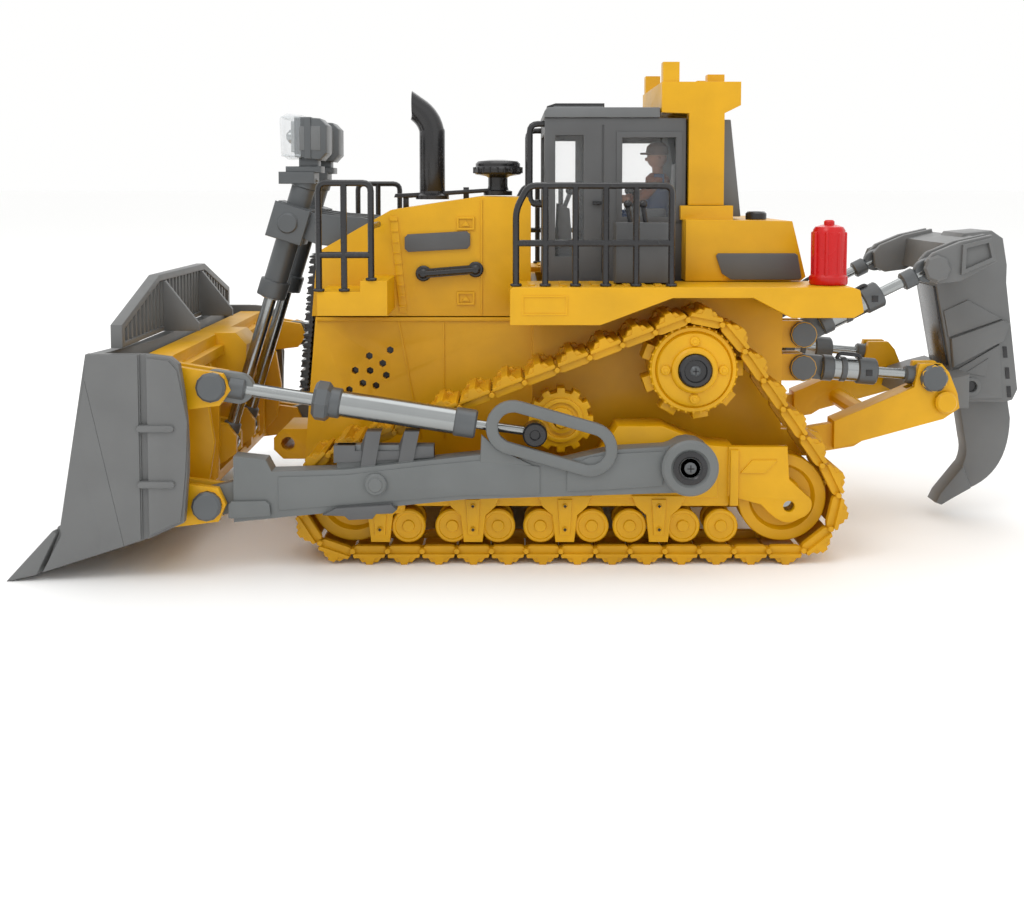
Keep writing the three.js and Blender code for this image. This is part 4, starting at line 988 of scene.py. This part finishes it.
def brace(side):
    """Brace: front eye, thin rod, nut, chrome barrel and tail rod with its roller."""
    made = Piece("tilt_brace", CHROME, f"brace_{side}")
    tail = (-28.8, 55.4)
    y = -ARM_Y

    def at(distance):
        return towards(UPPER_PIN, tail, distance, y)
    made.add(ARM, plate(capsule(UPPER_PIN, (at(9)[0], at(9)[2]), 5.6),
        y - 2, y + 2, 0.5, [circle(UPPER_PIN, 3.1, 24)]))
    made.add(GUN, rod(at(5), at(11.6), 4.4, 0.7, 36))
    made.put(rod(at(11), at(40), 2.5, 0.3))
    made.add(GUN, rod(at(36.8), at(43), 7.4, 1.2, 8), rod(at(42), at(47), 5.6, 0.6))
    made.put(rod(at(46), at(91), 4.8, 0.4, 40))
    made.add(GUN, rod(at(89), at(97.4), 5.3, 0.7, 40))
    made.put(rod(at(96), (BRACE_TAIL[0], y, BRACE_TAIL[1]), 1.75, 0.2))
    made.add(BLACK, lathe([(0, 0), (3.6, 0), (4.5, 0.6), (4.5, 6), (3.9, 6.8), (2, 6.9), (1.6, 6.1),
        (0, 6.1)], (BRACE_TAIL[0], y + 1, BRACE_TAIL[1]), (BRACE_TAIL[0], y, BRACE_TAIL[1]), 36))
    return made


def lift_barrel(side):
    """Lift cylinder barrel with its pivot block and lamp bracket."""
    made = Piece("lift_cylinder", CHROME, f"lift_barrel_{side}")

    def at(distance):
        return towards(LIFT_PIVOT, LIFT_EYE, distance, -LIFT_Y)
    made.add(GUN, rod(at(-19.3), at(32.5), 4.9, 0.5, 40), rod(at(25.4), at(32.5), 6.1, 0.6, 40),
        rod(at(-19.3), at(-15), 5.5, 0.5, 40))
    made.add(GUN, moulded("lift_barrel_left", 0.5))
    made.put(rod(at(31.6), at(33.2), 4.2, 0.3))
    lean = atan2(LIFT_EYE[0] - LIFT_PIVOT[0], LIFT_PIVOT[1] - LIFT_EYE[1])
    cap = block(-7.6, 7.6, -29.2, -26.3, -7.4, 7.4, 0.9)
    cap.transform(Matrix.Translation((LIFT_PIVOT[0], 0, LIFT_PIVOT[1])) @ Matrix.Rotation(-lean, 4, "Y"))
    made.add(GUN, cap, disc(LIFT_PIVOT, 4.2, -30.2, -25.8, 0.6, 32))
    made.add(GUN, rod(at(-20.6), at(-17), 5.2, 0.6, 32), block(-112.4, -97.6, -23.4, -10.6, 144.4, 149.4,
        0.6))
    return made


def lift_rod(side):
    """Lift cylinder rod with its eye."""
    made = Piece("lift_rod", CHROME, f"lift_rod_{side}")

    def at(distance):
        return towards(LIFT_EYE, LIFT_PIVOT, distance, -LIFT_Y)
    made.put(rod(at(4), at(74), 2.6, 0.3), ring(LIFT_EYE, 5, 3.7, -LIFT_Y - 2.6, -LIFT_Y + 2.6))
    made.add(GUN, rod(at(4.4), at(9), 3.6, 0.5))
    return made


def lamp(side):
    """Box lamp: housing on a foot, with a clear cover wrapped round its front."""
    made = Piece("work_lamp", DARK, f"lift_barrel_{side}")
    y0, y1 = -LIFT_Y - 8, -LIFT_Y + 8
    made.add(GUN, block(-109.6, -95, y0 + 2.6, y1 - 2.6, 148.9, 151.6, 0.5))
    made.add(GUN, block(-104.4, -96.4, y0 + 4.4, y1 - 4.4, 151, 155.4, 0.5))
    body = [(-105.6, 155.4), (-95, 154), (-92.2, 157), (-92.2, 168.4), (-95, 171.2), (-105.6, 172)]
    made.add(GUN, plate(body, y0 + 0.6, y1 - 0.6, 1.0))
    made.add(ROOF, block(-103.6, -94.6, y0 + 0.2, y1 - 0.2, 158, 168, 0.5))
    made.add(GUN, block(-101.4, -98.6, y0 - 0.1, y1 + 0.1, 154.6, 171.7, 0.4))
    made.add(CHROME, block(-107, -105.4, y0 + 1.4, y1 - 1.4, 157.4, 170.2, 0.4))
    for y in (y0 + 4.6, y1 - 4.6):
        made.add(CHROME, lathe([(3, 0), (2.8, 1.2), (1.4, 2.4), (0, 2.7)], (-106.8, y, 163.8),
            (-107.8, y, 163.8), 24))
    made.add(LENS, plate([(-111, 156.4), (-108.4, 154.4), (-102.6, 155), (-102.6, 172.6), (-108.6, 173.2),
        (-111.6, 171.2)], y0 + 0.2, y1 - 0.2, 1.0))
    for z in (156, 171.6):
        made.add(LENS, tube([(-103, y0, z), (-110.6, y0, z), (-110.6, y1, z), (-103, y1, z)], 0.5, 1.6))
    return made


# ---- ripper
def ripper_arm():
    """Ripper arm with its pins."""
    made = Piece("ripper_arm", YELLOW, "ripper_arm")
    made.put(moulded("ripper_arm", 0.4))
    for side in (-1, 1):
        made.add(GUN, disc(LOWER_END, 5.6, side * 38, side * 40.6, 0.9, 12))
        made.put(disc(HEAD_PIVOT, 4.4, side * 38, side * 40.7, 0.8, 24))
    return made


def ripper_head():
    """Faceted box that holds the shank, with a beam and two forked ears for the upper cylinders."""
    made = Piece("ripper_head", GREY, "ripper_head")
    body = [(163.6, 102), (170.4, 66), (172, 51.6), (194, 51.4), (197.4, 52.4), (199.5, 57), (193.6, 102.5),
        (193.6, 110.2), (191.6, 121.4), (186.8, 124.7), (174.9, 123.6), (166, 112)]
    made.put(plate(body, -12, 12, 0.7))
    # black strip down the front edge of the head: painted shade, where that edge lies in shadow
    made.add(BLACK, plate([(162.9, 101), (165, 101), (171.4, 67), (169.4, 67)], -10.4, 10.4, 0.3))
    made.put(plate([(162.6, 107.4), (176.4, 113.6), (176.4, 122.6), (164.4, 119.6)], -37, 37, 0.8))
    made.put(plate([(153.6, 52.4), (160, 51.6), (173, 51.6), (173, 66), (165, 64), (156, 61)],
        -26.8, 26.8, 0.8))
    ear = [(149.6, 113.2), (152.6, 116.6), (163.5, 121.2), (176, 124), (178.4, 113.4), (164, 105.4),
        (155, 104.2), (150.4, 106.4)]
    for side in (-1, 1):
        for near, far in ((35, 38.2), (27.8, 30.8)):
            made.put(plate(ear, side * near, side * far, 0.6))
        made.put(plate([(163.4, 108), (177.2, 114), (175.2, 122.8), (163.8, 120)],
            side * 38, side * 39.6, 0.3, [[(165.2, 110.4), (165.4, 118.6), (174, 120.8), (175.4, 115)]]))
        made.put(disc(UPPER_END, 5.5, side * 38, side * 40.2, 0.9, 8))
        y = side * SHANK_FACE
        made.put(plate([(166.8, 90.6), (177, 95.3), (191.6, 87.2), (169, 79.4)],
            y - side, y + side * 0.9, 0.35))
        made.put(plate([(169.8, 79), (191.8, 87), (194.8, 85.4), (192.2, 78), (171, 66.6)],
            y - side, y + side * 2.2, 0.9))
        made.put(plate([(172.6, 65.4), (190.8, 76.4), (192.4, 53.4), (173.6, 53)],
            y - side, y + side * 1.1, 0.4, [circle((179, 58.4), 2.4, 20)]))
        made.put(ring((179, 58.4), 4, 2.4, y, y + side * 1.8, 28))
        # black disc in the bore: painted shade for the depth of the hole
        made.add(BLACK, disc((179, 58.4), 2.2, y, y + side * 0.4, 0.1, 20))
        made.put(plate([(176.4, 64.4), (186, 70.6), (184.8, 62.6)], y, y + side * 1.6, 0.3))
        # black marks for the slots: painted shade standing in for recessed slots
        for x, z in ((193.5, 73), (194.7, 64), (195.6, 56)):
            made.add(BLACK, plate([(x - 0.6, z - 2.4), (x + 1.1, z - 2.4), (x + 0.6, z + 2.4),
                (x - 1.1, z + 2.4)], y, y + side * 0.3, 0.08))
    return made


def ripper_shank():
    """Curved tooth with a thicker wearing tip."""
    made = Piece("ripper_shank", GREY, "ripper_head")
    front = [(176.6, 58), (177.7, 48.8), *bend((180.3, 33.7), (182.2, 27), (179, 21.6), 6)]
    back = [*bend((182.9, 12.2), (200, 19.6), (199.9, 43.2), 12), (197.4, 58)]
    made.put(plate([*front, (177, 17), *back], -4.6, 4.6, 0.6))
    made.put(plate([(179.6, 22.4), (174.3, 15.6), (169.9, 10), (168, 6), (170.8, 5), (176.4, 8.4),
        (183.4, 12.4)], -5.4, 5.4, 0.8))
    return made


def ripper_cylinder(part, base, end, length, sleeve):
    """Barrel and rod of one ripper cylinder, with its dark collars and hose."""
    def at(distance, from_end=False):
        start, finish = (end, base) if from_end else (base, end)
        return towards(start, finish, distance, -RIPPER_Y)

    def barrel(side):
        made = Piece(f"ripper_{part}_barrel", CHROME, f"ripper_{part}_barrel_{side}")
        eye = at(9)
        made.add(GUN, plate(capsule(base, (eye[0], eye[2]), 4.8),
            -RIPPER_Y - 1.9, -RIPPER_Y + 1.9, 0.4, [circle(base, 2.7, 20)]))
        made.put(rod(at(8.4), at(length), 4.7, 0.4, 36))
        made.add(GUN, rod(at(8.6), at(13.4), 5.3, 0.5, 36), rod(at(length - 8), at(length), 5.4, 0.6, 36))
        window = at(length - 4)
        made.add(BLACK, block(window[0] - 1.3, window[0] + 1.3, -RIPPER_Y - 5.7, -RIPPER_Y - 4,
            window[2] - 1.3, window[2] + 1.3, 0.2))
        made.add(GUN, rod(at(length * 0.52), at(length * 0.6), 5.1, 0.3, 36))
        low, high = at(15), at(length - 6)
        made.add(BLACK, tube([(low[0], low[1] - 1, low[2] + 4.4), (low[0] + 1, low[1] - 1, low[2] + 6.4),
            (high[0] - 1, high[1] - 1, high[2] + 6.4), (high[0], high[1] - 1, high[2] + 4.4)], 0.8, 1.6))
        return made

    def rod_piece(side):
        made = Piece(f"ripper_{part}_rod", CHROME, f"ripper_{part}_rod_{side}")
        neck = at(3, True)
        made.add(GUN, plate(capsule(end, (neck[0], neck[2]), 4.6),
            -RIPPER_Y - 1.9, -RIPPER_Y + 1.9, 0.4, [circle(end, 3.2, 20)]), rod(at(sleeve[0], True),
            at(sleeve[1], True), 3.7, 0.6))
        made.put(rod(at(4, True), at(length - 4, True), 2.1, 0.2))
        return made
    pair(barrel, f"ripper_{part}_barrel")
    pair(rod_piece, f"ripper_{part}_rod")


# ---- camera, light and floor
def stage():
    """Pale floor, white surroundings and four soft lights."""
    bpy.ops.mesh.primitive_plane_add(size=1)
    floor = bpy.context.object
    floor.name = "floor"
    floor.scale = (90, 90, 1)
    material = bpy.data.materials.new("floor_paper")
    material.use_nodes = True
    shader = material.node_tree.nodes["Principled BSDF"]
    shader.inputs["Base Color"].default_value = (0.985, 0.985, 0.98, 1)
    shader.inputs["Roughness"].default_value = 0.9
    shader.inputs["Specular IOR Level"].default_value = 0.1
    floor.data.materials.append(material)

    world = bpy.data.worlds.new("studio")
    bpy.context.scene.world = world
    world.use_nodes = True
    world.node_tree.nodes["Background"].inputs["Color"].default_value = (1, 1, 0.995, 1)
    world.node_tree.nodes["Background"].inputs["Strength"].default_value = 1.0
    bpy.context.scene.view_settings.view_transform = "Standard"

    aim = Vector((0, 0, 0.08))
    for name, place, size, power in (("key", (-0.8, -1.0, 1.5), 0.8, 7), ("fill", (0.9, -1.2, 0.9),
            1.4, 1.5), ("top", (0.1, 0.2, 1.9), 1.2, 5), ("back", (0.5, 1.4, 1.1), 1.2, 3)):
        light = bpy.data.lights.new(name, "AREA")
        light.size = size
        light.energy = power
        lamp_object = bpy.data.objects.new(name, light)
        lamp_object.location = place
        lamp_object.rotation_mode = "QUATERNION"
        lamp_object.rotation_quaternion = (aim - Vector(place)).to_track_quat("-Z", "Y")
        bpy.context.scene.collection.objects.link(lamp_object)


CAMERA_PLACE = (-0.0162, -0.4965, 0.143)
CAMERA_LENS = 40.32
CAMERA_SHIFT = -0.19
CAMERA_PITCH = radians(3.53)


def camera():
    """Camera at the viewing angle of the front view."""
    data = bpy.data.cameras.new("camera")
    data.lens = CAMERA_LENS
    data.shift_y = CAMERA_SHIFT
    data.clip_start = 0.01
    made = bpy.data.objects.new("camera", data)
    made.location = CAMERA_PLACE
    made.rotation_euler = (pi / 2 - CAMERA_PITCH, 0, 0)
    bpy.context.scene.collection.objects.link(made)
    bpy.context.scene.camera = made


# ---- everything in place
def kept_shapes():
    """The sealed electrics and the clear liner keep their frame shape and get a finish."""
    for node, finish in (("battery_cover", DARK), ("battery_pack", DENIM), ("drive_gearbox", BLACK),
            ("circuit_board", BOARD), ("cab_glazing", GLASS)):
        for place in frame["nodes"][node].material_slots:
            place.material = finish


camera()
stage()
kept_shapes()
for made, node in ((chassis(), "chassis"), (hood(), "hood"), (grille(), "radiator_grille"), (exhaust(),
        "exhaust_stack"), (precleaner(), "air_precleaner"), (rear_body(), "rear_body"), (rops(),
        "rops_frame"), (extinguisher(), "extinguisher"), (cab(), "cab_shell"), (roof(), "cab_roof"),
        (driver(), "driver"), (seat(), "seat_console"), (blade_shell(), "blade_shell"), (cutting_edge(),
        "cutting_edge"), (spill_guard(), "spill_guard"), (blade_back(), "blade_back"), (ripper_arm(),
        "ripper_arm"), (ripper_head(), "ripper_head"), (ripper_shank(), "ripper_shank")):
    made.place(node)
for make, node in ((track, "track"), (sprocket, "sprocket"), (idler("front_idler"), "front_idler"),
        (idler("rear_idler"), "rear_idler"), (carrier, "carrier"), (roller_frame, "roller_frame"),
        (fender, "fender"), (push_arm, "push_arm"), (brace, "brace"), (lift_barrel, "lift_barrel"),
        (lift_rod, "lift_rod"), (lamp, "lamp")):
    pair(make, node)
rails()
ripper_cylinder("upper", UPPER_BASE, UPPER_END, 36, (7.4, 13.4))
ripper_cylinder("lower", LOWER_BASE, LOWER_END, 31, (5.4, 10))
